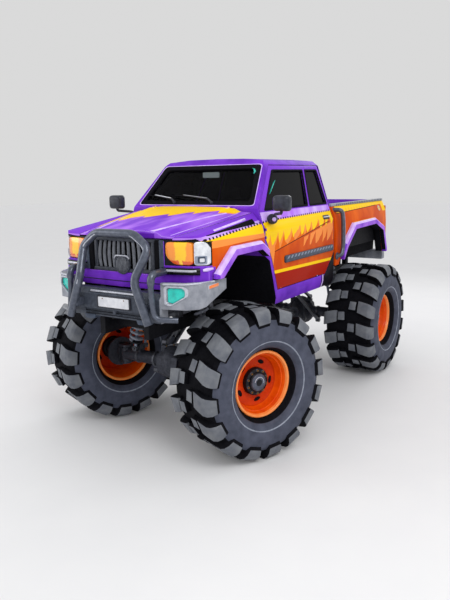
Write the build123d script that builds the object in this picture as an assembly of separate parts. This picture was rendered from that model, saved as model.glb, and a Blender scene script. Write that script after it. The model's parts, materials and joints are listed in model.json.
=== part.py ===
"""Monster truck: a two-door pickup body on a ladder frame, carried on solid axles by lugged tyres 1.68 m tall.

Forward is -Y, the truck's left is +X and up is +Z. Sizes are in millimetres and degrees.
The pieces are drawn with the front axle over y = 0 and the ground at z = 0, and are moved along Y
when they are written, so that the origin is on the ground under the middle of the truck.
"""
from build123d import *
import os
from math import atan2, cos, degrees, hypot, radians, sin, sqrt

# Layout
WHEELBASE = 3500
HALF_TRACK = 1115  # middle plane of a wheel that points straight ahead
FRONT_OVERHANG = 1195  # front axle to the foremost tube
REAR_OVERHANG = 1300  # rear axle to the back of the rear bumper
STEER_REST = 22  # degrees to the right
KINGPIN_OFFSET = 320  # kingpin to the middle plane of the wheel
SEAT_GAP = 0.3  # between pieces that seat on each other
MOVING_GAP = 8  # between pieces that turn past each other
HALF_GAP = SEAT_GAP / 2
RUNNING_GAP = 0.1  # round a shaft in its bore
PANEL_GAP = 8  # between a moving panel and its neighbours
OVERRUN = 60  # how far a cutting tool runs past the piece it cuts

# Tyres
TYRE_RADIUS = 838
TYRE_HALF_WIDTH = 390
TREAD_RADIUS = 764  # carcass under the lugs
BEAD_OFFSET = 235  # bead face from the middle plane
BEAD_SEAT_RADIUS = 345
BEAD_OUTER_RADIUS = 392
LUG_COUNT = 16  # on each shoulder
LUG_WIDTH = 158
LUG_SKEW = 15
LUG_CENTRE = 195  # middle of a lug across the tread
WHEEL_SIDES = 24
# columns: share of the half width, share of the height from the bead to the tread
CARCASS_SHARES = ((0.95, 0.55), (0.8, 1.0))
# columns: share of the half width, share of the lug's height above the tread
LUG_SHARES = ((0.1, -0.35), (0.1, 1.0), (0.84, 1.0), (0.95, 0.45), (0.96, -1.5), (0.78, -1.5))

# Rims and hubs
FLANGE_THICKNESS = 22
LIP_RADIUS = 374
LIP_INNER_RADIUS = 340
BARREL_WALL = 15
DISC_OFFSET = 84  # back of the disc from the middle plane
DISC_THICKNESS = 18
DISH_RADIUS = 288
HAND_HOLE_COUNT = 5
HAND_HOLE_RADIUS = 30
HAND_HOLE_CIRCLE = 222
HAND_HOLE_SIDES = 6
HUB_RADIUS = 146
HUB_SIDES = 12
HUB_FRONT = 62  # how far the hub stands out of the disc
HUB_BACK = 70  # and how far it reaches inboard of it
HUB_CAP_RADIUS = 86
HUB_CAP_DEPTH = 34
SPINDLE_RADIUS = 62
SPINDLE_REACH = 50  # into the hub

# Axles and knuckles
AXLE_TUBE_RADIUS = 78
DIFF_RADIUS = 205
DIFF_HALF_LENGTH = 150
DIFF_NOSE_RADIUS = 95
DIFF_NOSE_REACH = 300
KINGPIN_RADIUS = 46
KNUCKLE_EAR_RADIUS = 62
BOSS_RADIUS = 66
BOSS_HALF_HEIGHT = 84
EAR_TOP = 122
TIE_PIN_RADIUS = 14
TIE_GAP = 5
TIE_OPEN_GAP = 6
KNUCKLE_PLATE_THICKNESS = 40
KNUCKLE_PLATE_OFFSET = 92  # middle of the knuckle's plate outboard of the kingpin
BRAKE_RADIUS = 190
BRAKE_THICKNESS = 26
BRAKE_OFFSET = 150
STEER_ARM_LENGTH = 262
STEER_ARM_WIDTH = 46
STEER_ARM_THICKNESS = 30
TIE_ROD_RADIUS = 16
TIE_EYE_RADIUS = 30
TIE_EYE_THICKNESS = 34

# Ladder frame
RAIL_OUTER_X = 345
RAIL_WIDTH = 70
RAIL_HEIGHT = 140
RAIL_TOP_Z = 1500
RAIL_FRONT_Y = -850
RAIL_REAR_Y = WHEELBASE + 1020
CROSSMEMBER_WIDTH = 80
CROSSMEMBER_HEIGHT = 90
BRACKET_LENGTH = 120
BUMPER_FOOT_Z = 1700
NOSE_POST_Y = -870
CROSSMEMBER_SHARES = (0.03, 0.445, 0.69, 0.97)  # along the rails
MOUNT_RADIUS = 45
CAB_MOUNT_INSET = 260  # of the cab's mounts from its ends

# Suspension
LINK_RADIUS = 30
LINK_AXLE_X = 300
LINK_FRAME_X = 310
EYE_RADIUS = 38
EYE_HALF_WIDTH = 30
BRACKET_HALF = 34
LINK_LENGTH_Y = 900
LINK_DROP = 142  # lower link's axle end below the axle's centre
UPPER_LINK_AXLE_X = 150
UPPER_LINK_RISE = 235
SHOCK_LOWER_X = 560
SHOCK_UPPER_X = 430
SHOCK_LOWER_RISE = 120
SHOCK_UPPER_Z = 1700
SHOCK_PAIR_Y = 92  # each shock of a pair, before or behind the axle's centre
SHOCK_ROD_RADIUS = 20
SHOCK_BODY_RADIUS = 44
SHOCK_BODY_SHARE = 0.55  # of the length between the eyes
SHOCK_EYE_RADIUS = 34
SHOCK_EYE_WIDTH = 93
SPRING_RADIUS = 84
SPRING_WIRE = 22
SPRING_TURNS = 5
SPRING_SIDES = 7
SPRING_SHARES = (0.14, 0.88)  # ends of the spring along the shock
SPRING_SEAT_SHARE = 0.02

# Driveline
ENGINE_HALF_WIDTH = 260
ENGINE_FRONT_Y = -520
ENGINE_REAR_Y = 250
ENGINE_BOTTOM_Z = 1545
ENGINE_TOP_Z = 2240
GEARBOX_HALF_WIDTH = 150
GEARBOX_BOTTOM_Z = 1345
GEARBOX_TOP_Z = 1505
DRIVESHAFT_RADIUS = 48
TRANSFER_FRONT_Y = 1250
TRANSFER_REAR_Y = 1500
TRANSFER_Z = 1270

# Body, as seen from the front
BODY_HALF_WIDTH = 1015
SILL_Z = 1520
WINDOW_Z = 2660  # foot of the side windows
GREENHOUSE_HEIGHT = 525
RAIL_X = BODY_HALF_WIDTH - 263  # roof rail
RAIL_Z = WINDOW_Z + GREENHOUSE_HEIGHT
ROOF_Z = RAIL_Z + 83
CUT_X = BODY_HALF_WIDTH + 85  # reach of the tools that cut the body from side to side
CUT_TOP_Z = ROOF_Z + OVERRUN
# columns: share of the half width, share of the height from the sill to the windows
SIDE_SHARES = (
    (0.966, 0.0),
    (0.995, 0.075),
    (1.0, 0.3),
    (1.0, 0.66),
    (0.988, 0.81),
    (0.945, 0.905),
    (0.912, 1.0),
)
# columns: share of the roof rail's half width, share of the height from the rail to the roof's crown
ROOF_SHARES = ((0.94, 0.6), (0.55, 0.92), (0.0, 1.0))

# Cab, as seen from the side
CAB_FRONT_Y = 425
CAB_REAR_Y = 2430
COWL_Z = 2684
SCREEN_TOP_Y = 905
SCREEN_TOP_Z = RAIL_Z + 20
ROOF_REAR_Y = 2305
CAB_WALL = 66
BULKHEAD = 55
FLOOR_TOP_Z = 1640
SCREEN_FRAME = 78
SCREEN_HALF_FOOT = BODY_HALF_WIDTH - 215
SCREEN_HALF_TOP = RAIL_X - 80
REAR_WINDOW_HALF_FOOT = RAIL_X - 62
REAR_WINDOW_HALF_TOP = RAIL_X - 152
REAR_WINDOW_FOOT_Z = WINDOW_Z + 60
REAR_WINDOW_TOP_Z = RAIL_Z - 65
GLASS_THICKNESS = 8
GLASS_INSET = 20  # glass below the outer face

# Doors
DOOR_THICKNESS = 60
DOOR_POST = 30  # cab's front edge to the door's
DOOR_REAR_POST = 25
DOOR_BOTTOM_Z = 1705
DOOR_KINK_Z = 2325
DOOR_FOOT_Y = 735
DOOR_KNEE_Y = 590
DOOR_KNEE_Z = 2085
DOOR_TOP_SETBACK = 24
DOOR_HEEL_Y = 270  # cut-off lower rear corner, along the door
DOOR_HEEL_Z = 255
DOOR_TOP_Z = RAIL_Z - 13
DOOR_CUT_X = RAIL_X - 192  # inner end of the tools that cut the doors
DOOR_TOP_FRONT_Y = 990
DOOR_FRAME = 62
DOOR_FRAME_FRONT = 78
DIVIDER_FOOT_Y = 1735
DIVIDER_TOP_Y = 1880
DIVIDER_WIDTH = 70
STRIP_HEIGHT = 96
STRIP_THICKNESS = 26
STRIP_Z = 2045
STRIP_FRONT_Y = 905
STRIP_REAR_INSET = 35
HANDLE_LENGTH = 190
HANDLE_HEIGHT = 44
HANDLE_THICKNESS = 30
HANDLE_Z = 2478
HANDLE_X = BODY_HALF_WIDTH - 50
HANDLE_REAR_INSET = 240
MIRROR_X = BODY_HALF_WIDTH + 210
MIRROR_Y = 430
MIRROR_Z = 2740
MIRROR_WIDTH = 215
MIRROR_HEIGHT = 180
MIRROR_DEPTH = 105
MIRROR_BALL_RADIUS = 50
MIRROR_ARM_RADIUS = 16
MIRROR_FOOT_X = BODY_HALF_WIDTH - 30
MIRROR_FOOT_Y = 610
MIRROR_FOOT_Z = 2550

# Hinges
HINGE_RADIUS = 10
HINGE_CLEARANCE = 1
HINGE_LENGTH = 60
HINGE_X = BODY_HALF_WIDTH - 3
HINGE_Y = CAB_FRONT_Y + 26
DOOR_HINGE_Z = (2335, 2425)
HOOD_HINGE_Y = CAB_FRONT_Y - 20
HOOD_HINGE_Z = COWL_Z + 8
HOOD_HINGE_RADIUS = 8
TAILGATE_HINGE_Y = WHEELBASE + 1155
TAILGATE_HINGE_Z = 2010
COLUMN_GAP = 40
HOOD_HINGE_X = 560
TAILGATE_HINGE_X = 620

# Front of the body
NOSE_Y = -880
NOSE_HALF_WIDTH_GAP = 45  # from the grille to the hood lip's end
LAMP_BOTTOM_Z = 2165
LAMP_TOP_Z = 2413
LAMP_INNER_X = 545
LAMP_SPLIT_X = BODY_HALF_WIDTH - 145
LAMP_REAR_Y = -640
LAMP_DEPTH = 90
NOSE_WALL = 60
# columns: share of the body's half width, share of the nose's reach ahead of the axle
NOSE_SHARES = ((0.0, 1.0), (0.54, 0.975), (0.857, 0.905), (0.97, 0.785), (1.0, 0.64))
FRONT_PANEL_BOTTOM_Z = 1905
GRILLE_HALF_WIDTH = 500
GRILLE_BOTTOM_Z = 2062
GRILLE_TOP_Z = 2432
GRILLE_FRAME = 48
GRILLE_DEPTH = 40
GRILLE_RIB_COUNT = 11
GRILLE_RIB_WIDTH = 34
GRILLE_RIB_DEPTH = 34
GRILLE_BADGE_RADIUS = 70
GRILLE_BADGE_Z = 2135
GRILLE_BADGE_DEPTH = 16
NOSE_CUT_FRONT_Y = NOSE_Y - 220
NOSE_CUT_REAR_Y = NOSE_Y + 180

# Hood and front fenders; the tables run from the middle out to the side
HOOD_REAR_Y = CAB_FRONT_Y - 30
HOOD_SKIN = 34
HOOD_LIP_Z = 2440
HOOD_FRONT_EDGE_X = BODY_HALF_WIDTH - 383
HOOD_REAR_EDGE_X = BODY_HALF_WIDTH - 163
HOOD_FRONT_Z = 2512  # crown of the hood at its front
HOOD_REAR_Z = 2700
HOOD_EDGE_DROP = 66  # edge of the hood below its crown
# columns: share of the edge's half width, share of the drop from the crown to the edge
HOOD_SHARES = ((0.0, 0.0), (0.5, 0.05), (0.74, 0.28), (0.83, 0.78), (1.0, 1.0))
FENDER_SKIN = 30
FENDER_TOP_X = BODY_HALF_WIDTH - 115
FENDER_TOP_FRONT_Z = 2462
FENDER_TOP_REAR_Z = 2588
FENDER_SHOULDER_X = BODY_HALF_WIDTH - 30
FENDER_SHOULDER_FRONT_Z = 2402
FENDER_SHOULDER_REAR_Z = 2492
FENDER_SIDE_FRONT_Z = 2320
FENDER_SIDE_REAR_Z = 2380
FENDER_BOTTOM_Z = 2030  # ahead of the wheel

# Wheel arches, as outlines round each axle
FRONT_ARCH_AHEAD = 580
FRONT_ARCH_BEHIND = 722
FRONT_ARCH_TOP_Z = 2238
FRONT_ARCH_FOOT_AHEAD_Z = 1880
REAR_ARCH_AHEAD = 860
REAR_ARCH_BEHIND = 1000
REAR_ARCH_TOP_Z = 2262
REAR_ARCH_FOOT_Z = 1790
# columns: share of the reach before (below 0) or behind (above 0) the axle, share of the rise to the top
FRONT_ARCH_SHARES = ((-0.97, 0.42), (-0.5, 0.985), (0.35, 1.0), (0.74, 0.77), (0.9, 0.3))
REAR_ARCH_SHARES = ((-0.8, 0.45), (-0.42, 0.96), (0.5, 1.0), (0.86, 0.72))
FLARE_WIDTH = 95
FLARE_OUT = 66  # how far a flare stands out of the body's side
FLARE_BEVEL = 30

# Bumpers and bull bar
BUMPER_FRONT_Y = -1040
BUMPER_REAR_Y = -905
BUMPER_HALF_WIDTH = 610
BUMPER_BOTTOM_Z = 1590
BUMPER_TOP_Z = 1895
BUMPER_END_BOTTOM_Z = 1742
BUMPER_END_TOP_Z = 2012
BUMPER_END_Y = -450
BUMPER_END_X = BODY_HALF_WIDTH + 20
BUMPER_END_TIP_Z = 1905
BUMPER_END_WALL = 48
BUMPER_END_SETBACK = 25
# columns: share of the half width across the end piece, share of the reach from the tip to the front face
BUMPER_END_SHARES = ((0.0, 0.93), (0.62, 0.88), (0.94, 0.6), (1.0, 0.0))
# columns: share of the depth, share of the height
BUMPER_SHARES = ((0.0, 0.28), (0.16, 0.0), (1.0, 0.0), (1.0, 1.0), (0.3, 1.0), (0.0, 0.82))
BUMPER_SLOT_DEPTH = 26
BUMPER_SLOT_SHARES = (0.12, 0.27)  # up the bumper's face
BUMPER_SLOT_INNER_X = 28
BUMPER_SLOT_OUTER_X = 430
FOG_INNER_X = 672
FOG_OUTER_X = 862
FOG_BOTTOM_Z = 1800
FOG_TOP_Z = 1962
FOG_DEPTH = 34
FOG_LENS_DEPTH = 22
# columns: share of the width, share of the height
FOG_SHARES = ((0.0, 0.08), (0.28, 0.0), (1.0, 0.5), (1.0, 0.86), (0.86, 1.0), (0.1, 1.0), (0.0, 0.9))
BULL_TUBE_RADIUS = 45
BULL_TOP_Z = 2490
BULL_TOP_HALF = 265
BULL_SHOULDER_HALF = 452
BULL_SHOULDER_Z = 2345
BULL_WAIST_HALF = 372
BULL_WAIST_Z = 2030
BULL_FOOT_HALF = 545
BULL_FOOT_Z = 1690
BULL_TOP_Y = -985
BULL_WAIST_Y = -1150
SIDE_TUBE_RADIUS = 30
SIDE_TUBE_X = 560
SIDE_TUBE_TOP_Z = 2105
SIDE_TUBE_OUT_X = 800
SIDE_TUBE_FOOT_Z = 1640
SIDE_TUBE_Y = -1108
SIDE_TUBE_END_Y = -985
REAR_BUMPER_HALF_WIDTH = BODY_HALF_WIDTH - 55
REAR_BUMPER_BOTTOM_Z = 1600
REAR_BUMPER_TOP_Z = 1765
REAR_BUMPER_DEPTH = 130
REAR_BUMPER_Y = WHEELBASE + 1170

# Bed
BED_FRONT_Y = CAB_REAR_Y + 75
BED_REAR_Y = WHEELBASE + 1167
BED_RAIL_Z = 2640
BED_SIDE_BOTTOM_Z = 1760
BED_FLOOR_Z = 1985
BED_FLOOR_THICKNESS = 40
BED_INNER_X = BODY_HALF_WIDTH - 150
BED_LINER = 30
BED_RAIL_HEIGHT = 40
BED_CROSSBEAM = 70
BED_BEAM_Z = 1890
BED_BEAM_SHARES = (0.09, 0.46, 0.83)  # along the bed
BED_SIDE_TOP_X = BODY_HALF_WIDTH - 65
BED_RAIL_X = BODY_HALF_WIDTH - 75
TAILGATE_THICKNESS = 50
TAILGATE_BOTTOM_Z = 2024
HOOP_RADIUS = 32
HOOP_X = BODY_HALF_WIDTH + 63
HOOP_TOP_Z = 2675
HOOP_FOOT_Z = 1880
HOOP_Y = BED_FRONT_Y + 95
HOOP_TO_FLARE = 45
TAIL_LAMP_X = BODY_HALF_WIDTH - 110
TAIL_LAMP_WIDTH = 90
TAIL_LAMP_HEIGHT = 250
TAIL_LAMP_TOP_Z = 2520
TAIL_LAMP_DEPTH = 30

# Inside the cab
SEAT_X = 400
SEAT_HALF_WIDTH = 250
SEAT_FRONT_Y = 1330
SEAT_CUSHION_Z = 2060
SEAT_BACK_Y = 1860
SEAT_BACK_LEAN = 130
SEAT_BACK_TOP_Z = 2720
SEAT_BACK_THICKNESS = 130
HEADREST_HALF_WIDTH = 130
HEADREST_HEIGHT = 180
DASH_REAR_Y = 840
DASH_TOP_Z = 2612
DASH_BOTTOM_Z = 2200
DASH_HALF_WIDTH = BODY_HALF_WIDTH - 185
WHEEL_CENTRE_Y = 1075
WHEEL_CENTRE_Z = 2520
WHEEL_LEAN = 32
STEERING_WHEEL_RADIUS = 190
STEERING_RIM_RADIUS = 17
COLUMN_RADIUS = 26

AXLE_SHIFT = FRONT_OVERHANG - (FRONT_OVERHANG + WHEELBASE + REAR_OVERHANG) / 2
KINGPIN_X = HALF_TRACK - KINGPIN_OFFSET


def blend(low, high, share):
    """The value at a share of the way from low to high."""
    return low + (high - low) * share


def face_of(outline):
    """A face inside an outline's points, or the face itself if it is one already."""
    return outline if isinstance(outline, Sketch) else make_face(Polyline(*outline, close=True))


def grown(outline, amount):
    return offset(face_of(outline), amount=amount, kind=Kind.INTERSECTION)


def prism_x(points, low, high):
    """An outline in (y, z), solid from x = low to x = high."""
    return extrude(Plane.YZ.offset(low) * face_of(points), amount=high - low)


def prism_y(points, low, high):
    """An outline in (x, z), solid from y = low to y = high."""
    plane = Plane(origin=(0, high, 0), x_dir=(1, 0, 0), z_dir=(0, -1, 0))
    return extrude(plane * face_of(points), amount=high - low)


def prism_z(points, low, high):
    """An outline in (x, y), solid from z = low to z = high."""
    return extrude(Plane.XY.offset(low) * face_of(points), amount=high - low)


def block(x_low, x_high, y_low, y_high, z_low, z_high):
    corners = ((x_low, y_low), (x_high, y_low), (x_high, y_high), (x_low, y_high))
    return prism_z(corners, z_low, z_high)


def rod(start, end, radius):
    """A round bar between two points."""
    start, end = Vector(*start), Vector(*end)
    plane = Plane(origin=start, z_dir=end - start)
    return extrude(plane * Circle(radius), amount=(end - start).length)


def tube(points, radius, corner):
    """A round bar along straight runs with tangent arcs at the corners."""
    path = FilletPolyline(*points, radius=corner)
    return sweep(Plane(origin=path @ 0, z_dir=path % 0) * Circle(radius), path=path)


def bar(start, end, radius, sides=8):
    """A bar of few flat sides between two points."""
    start, end = Vector(*start), Vector(*end)
    plane = Plane(origin=start, z_dir=end - start)
    return extrude(plane * RegularPolygon(radius, sides), amount=(end - start).length)


def both_sides(shape):
    return shape + mirror(shape, about=Plane.YZ)


def plane_faces(a, b, c, d):
    """One plane face on four corners, or two where they don't lie in a plane."""
    normal = (b - a).cross(c - a)
    if normal.length < 1e-6 or abs(normal.normalized().dot(d - a)) < 1e-4:
        return [Face(Wire.make_polygon([a, b, c, d]))]
    return [Face(Wire.make_polygon([a, b, c])), Face(Wire.make_polygon([a, c, d]))]


def faceted(rings):
    """A solid through rings of equally many points, with plane ends and plane sides."""
    rings = [[Vector(*point) for point in ring] for ring in rings]
    faces = [Face(Wire.make_polygon(rings[0])), Face(Wire.make_polygon(rings[-1]))]
    for low, high in zip(rings, rings[1:]):
        for index, point in enumerate(low):
            after = (index + 1) % len(low)
            faces += plane_faces(point, low[after], high[after], high[index])
    return Solid(Shell(faces))


# Tyres, rims and hubs, drawn with the wheel's axis along X and its outer side at +X

def wheel_loft(stations):
    """A many-sided body round the wheel's axis, through (offset, radius) stations."""
    turns = [radians(index * 360 / WHEEL_SIDES) for index in range(WHEEL_SIDES)]
    return faceted([[(x, r * cos(turn), r * sin(turn)) for turn in turns] for x, r in stations])


def tyre():
    """A carcass with a row of slanting lugs on each shoulder; one lug's corner touches the ground."""
    stations = [(BEAD_OFFSET, BEAD_OUTER_RADIUS)]
    for across, rise in CARCASS_SHARES:
        stations.append((across * TYRE_HALF_WIDTH, blend(BEAD_OUTER_RADIUS, TREAD_RADIUS, rise)))
    body = wheel_loft([(-x, r) for x, r in stations] + stations[::-1])
    bore = BEAD_SEAT_RADIUS + SEAT_GAP
    body -= wheel_loft([(-TYRE_HALF_WIDTH, bore), (TYRE_HALF_WIDTH, bore)])
    skew = radians(LUG_SKEW)
    reach = LUG_WIDTH / 2 * cos(skew) + (LUG_SHARES[2][0] * TYRE_HALF_WIDTH - LUG_CENTRE) * sin(skew)
    top = sqrt(TYRE_RADIUS**2 - reach**2)
    outline = [(a * TYRE_HALF_WIDTH, blend(TREAD_RADIUS, top, b)) for a, b in LUG_SHARES]
    lug = prism_y(outline, -LUG_WIDTH / 2, LUG_WIDTH / 2)
    lug = Pos(LUG_CENTRE, 0, 0) * Rot(0, 0, LUG_SKEW) * Pos(-LUG_CENTRE, 0, 0) * lug
    other = mirror(lug, about=Plane.YZ)
    start, pitch = 180 + degrees(atan2(reach, top)), 360 / LUG_COUNT
    for index in range(LUG_COUNT):
        body = body + [Rot(start + index * pitch, 0, 0) * lug, Rot(start + (index + 0.5) * pitch, 0, 0) * other]
    return body


def rim():
    lip_x = BEAD_OFFSET + SEAT_GAP + FLANGE_THICKNESS
    seat_x = BEAD_OFFSET + SEAT_GAP
    body = wheel_loft(
        [(-lip_x, LIP_RADIUS), (-seat_x, BEAD_SEAT_RADIUS), (seat_x, BEAD_SEAT_RADIUS), (lip_x, LIP_RADIUS)]
    )
    barrel = BEAD_SEAT_RADIUS - BARREL_WALL
    body -= wheel_loft([(-lip_x, barrel), (DISC_OFFSET, barrel)])
    body -= wheel_loft([(DISC_OFFSET + DISC_THICKNESS, DISH_RADIUS), (lip_x, LIP_INNER_RADIUS)])
    plane = Plane(origin=(DISC_OFFSET, 0, 0), x_dir=(0, 1, 0), z_dir=(1, 0, 0))
    body -= extrude(plane * RegularPolygon(HUB_RADIUS + SEAT_GAP, HUB_SIDES), amount=DISC_THICKNESS)
    for turn in range(0, 360, 360 // HAND_HOLE_COUNT):
        hole = extrude(plane * RegularPolygon(HAND_HOLE_RADIUS, HAND_HOLE_SIDES), amount=DISC_THICKNESS)
        body -= Rot(turn, 0, 0) * Pos(0, 0, HAND_HOLE_CIRCLE) * hole
    return body


def hub():
    back = DISC_OFFSET - HUB_BACK
    front = DISC_OFFSET + DISC_THICKNESS + HUB_FRONT
    body = bar((back, 0, 0), (front, 0, 0), HUB_RADIUS, HUB_SIDES)
    body += bar((front, 0, 0), (front + HUB_CAP_DEPTH, 0, 0), HUB_CAP_RADIUS, HUB_SIDES)
    return body - rod((back, 0, 0), (back + SPINDLE_REACH + RUNNING_GAP, 0, 0), SPINDLE_RADIUS + RUNNING_GAP)


HUB_BACK_X = DISC_OFFSET - HUB_BACK  # outboard of the wheel's middle plane
SPINDLE_END = HUB_BACK_X + SPINDLE_REACH

tyre_shape, rim_shape, hub_shape = tyre(), rim(), hub()
AXLE_Z = -tyre_shape.bounding_box().min.Z  # the tyres stand on the ground


def rear_wheel_place(side):
    turn = Rot(0, 0, 0) if side > 0 else Rot(0, 0, 180)
    return Pos(side * HALF_TRACK, WHEELBASE, AXLE_Z) * turn


def steered(side):
    """Moves what is drawn round a kingpin at the origin, outboard along +X, to its steered place."""
    turn = Rot(0, 0, -STEER_REST) if side > 0 else Rot(0, 0, 180 - STEER_REST)
    return Pos(side * KINGPIN_X, 0, AXLE_Z) * turn


# Axles and steering

def differential(towards):
    ends = (0.55, 1, 1, 0.55)
    places = (-1, -0.56, 0.56, 1)
    top = [(a * DIFF_HALF_LENGTH, b * DIFF_RADIUS) for a, b in zip(places, ends)]
    outline = top + [(x, -z) for x, z in reversed(top)]
    belly = prism_y(outline, -DIFF_RADIUS, DIFF_RADIUS)
    belly &= bar((-DIFF_HALF_LENGTH, 0, 0), (DIFF_HALF_LENGTH, 0, 0), DIFF_RADIUS, HUB_SIDES)
    return belly + bar((0, 0, 0), (0, towards * DIFF_NOSE_REACH, 0), DIFF_NOSE_RADIUS)


def axle_brackets(towards):
    """Ears for the lower links, feet for the shocks and a saddle for the upper links."""
    low_y, high_y = sorted((-towards * EYE_RADIUS, 0))
    lower = block(
        LINK_AXLE_X - BRACKET_HALF, LINK_AXLE_X + BRACKET_HALF, low_y, high_y, -LINK_DROP + EYE_RADIUS + SEAT_GAP, 0
    )
    half = SHOCK_PAIR_Y - SHOCK_EYE_WIDTH / 2 - SEAT_GAP
    foot = block(SHOCK_LOWER_X - SHOCK_EYE_RADIUS, SHOCK_LOWER_X + SHOCK_EYE_RADIUS, -half, half, 0, SHOCK_LOWER_RISE + SHOCK_EYE_RADIUS)
    saddle = block(
        UPPER_LINK_AXLE_X - BRACKET_HALF,
        UPPER_LINK_AXLE_X + BRACKET_HALF,
        -EYE_RADIUS,
        EYE_RADIUS,
        0,
        UPPER_LINK_RISE - EYE_RADIUS - SEAT_GAP,
    )
    return both_sides(lower + foot + saddle)


def front_axle():
    body = bar((-KINGPIN_X, 0, 0), (KINGPIN_X, 0, 0), AXLE_TUBE_RADIUS, 12) + differential(1) + axle_brackets(1)
    boss = bar((KINGPIN_X, 0, -BOSS_HALF_HEIGHT), (KINGPIN_X, 0, BOSS_HALF_HEIGHT), BOSS_RADIUS, 12)
    boss_cut = block(KINGPIN_X, KINGPIN_X + BOSS_RADIUS + AXLE_TUBE_RADIUS, -100, 100, -100, 100)
    body = body - both_sides(boss_cut) + both_sides(boss)
    bore = rod((KINGPIN_X, 0, -BOSS_HALF_HEIGHT), (KINGPIN_X, 0, BOSS_HALF_HEIGHT), KINGPIN_RADIUS + RUNNING_GAP)
    return Pos(0, 0, AXLE_Z) * (body - both_sides(bore))


def rear_axle():
    end = HALF_TRACK + HUB_BACK_X - MOVING_GAP
    body = bar((-end, 0, 0), (end, 0, 0), AXLE_TUBE_RADIUS, 12) + differential(-1) + axle_brackets(-1)
    tip = HALF_TRACK + SPINDLE_END
    body += rod((-tip, 0, 0), (tip, 0, 0), SPINDLE_RADIUS)
    disc_x = HALF_TRACK - KINGPIN_OFFSET + BRAKE_OFFSET
    body += both_sides(bar((disc_x, 0, 0), (disc_x + BRAKE_THICKNESS, 0, 0), BRAKE_RADIUS, 16))
    return Pos(0, WHEELBASE, AXLE_Z) * body


def knuckle(arm):
    """Kingpin at the origin and spindle along +X; the steering arm points to -Y or +Y as arm says."""
    body = rod((0, 0, -EAR_TOP), (0, 0, EAR_TOP), KINGPIN_RADIUS)
    ear_z = BOSS_HALF_HEIGHT + MOVING_GAP
    plate_x = KNUCKLE_PLATE_OFFSET - KNUCKLE_PLATE_THICKNESS / 2
    for low, high in ((-EAR_TOP, -ear_z), (ear_z, EAR_TOP)):
        body += bar((0, 0, low), (0, 0, high), KNUCKLE_EAR_RADIUS, 12)
        body += block(0, plate_x + 1, -KNUCKLE_EAR_RADIUS, KNUCKLE_EAR_RADIUS, low, high)
    body += block(
        plate_x, plate_x + KNUCKLE_PLATE_THICKNESS, -KNUCKLE_EAR_RADIUS, KNUCKLE_EAR_RADIUS, -EAR_TOP, EAR_TOP
    )
    body += rod((plate_x, 0, 0), (KINGPIN_OFFSET + SPINDLE_END, 0, 0), SPINDLE_RADIUS)
    body += bar((BRAKE_OFFSET, 0, 0), (BRAKE_OFFSET + BRAKE_THICKNESS, 0, 0), BRAKE_RADIUS, 16)
    half = STEER_ARM_WIDTH / 2
    top = -ear_z
    strap = block(-half, half, *sorted((0, arm * STEER_ARM_LENGTH)), top - STEER_ARM_THICKNESS, top)
    strap += bar(
        (0, arm * STEER_ARM_LENGTH, top - STEER_ARM_THICKNESS), (0, arm * STEER_ARM_LENGTH, top), TIE_EYE_RADIUS
    )
    pin = rod(
        (0, arm * STEER_ARM_LENGTH, top - STEER_ARM_THICKNESS - TIE_EYE_THICKNESS - MOVING_GAP),
        (0, arm * STEER_ARM_LENGTH, top),
        TIE_PIN_RADIUS,
    )
    return body + strap + pin


def arm_end(side):
    """Where the steering arm's pin stands, steered as the truck is parked."""
    turn = radians(STEER_REST)
    return side * KINGPIN_X + STEER_ARM_LENGTH * sin(turn), STEER_ARM_LENGTH * cos(turn)


def tie_rod():
    top = AXLE_Z - BOSS_HALF_HEIGHT - MOVING_GAP - STEER_ARM_THICKNESS - TIE_GAP
    middle = top - TIE_EYE_THICKNESS / 2
    (right_x, y), (left_x, _) = arm_end(-1), arm_end(1)
    body = bar((right_x, y, middle), (left_x, y, middle), TIE_ROD_RADIUS)
    for x in (right_x, left_x):
        body += bar((x, y, top - TIE_EYE_THICKNESS), (x, y, top), TIE_EYE_RADIUS)
    for x, gap in ((right_x, TIE_OPEN_GAP), (left_x, RUNNING_GAP)):
        body -= rod((x, y, top - 2 * TIE_EYE_THICKNESS), (x, y, top + TIE_GAP), TIE_PIN_RADIUS + gap)
    return body


# Frame and suspension

def beam_places():
    return [blend(BED_FRONT_Y, BED_REAR_Y, share) for share in BED_BEAM_SHARES]


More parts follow.
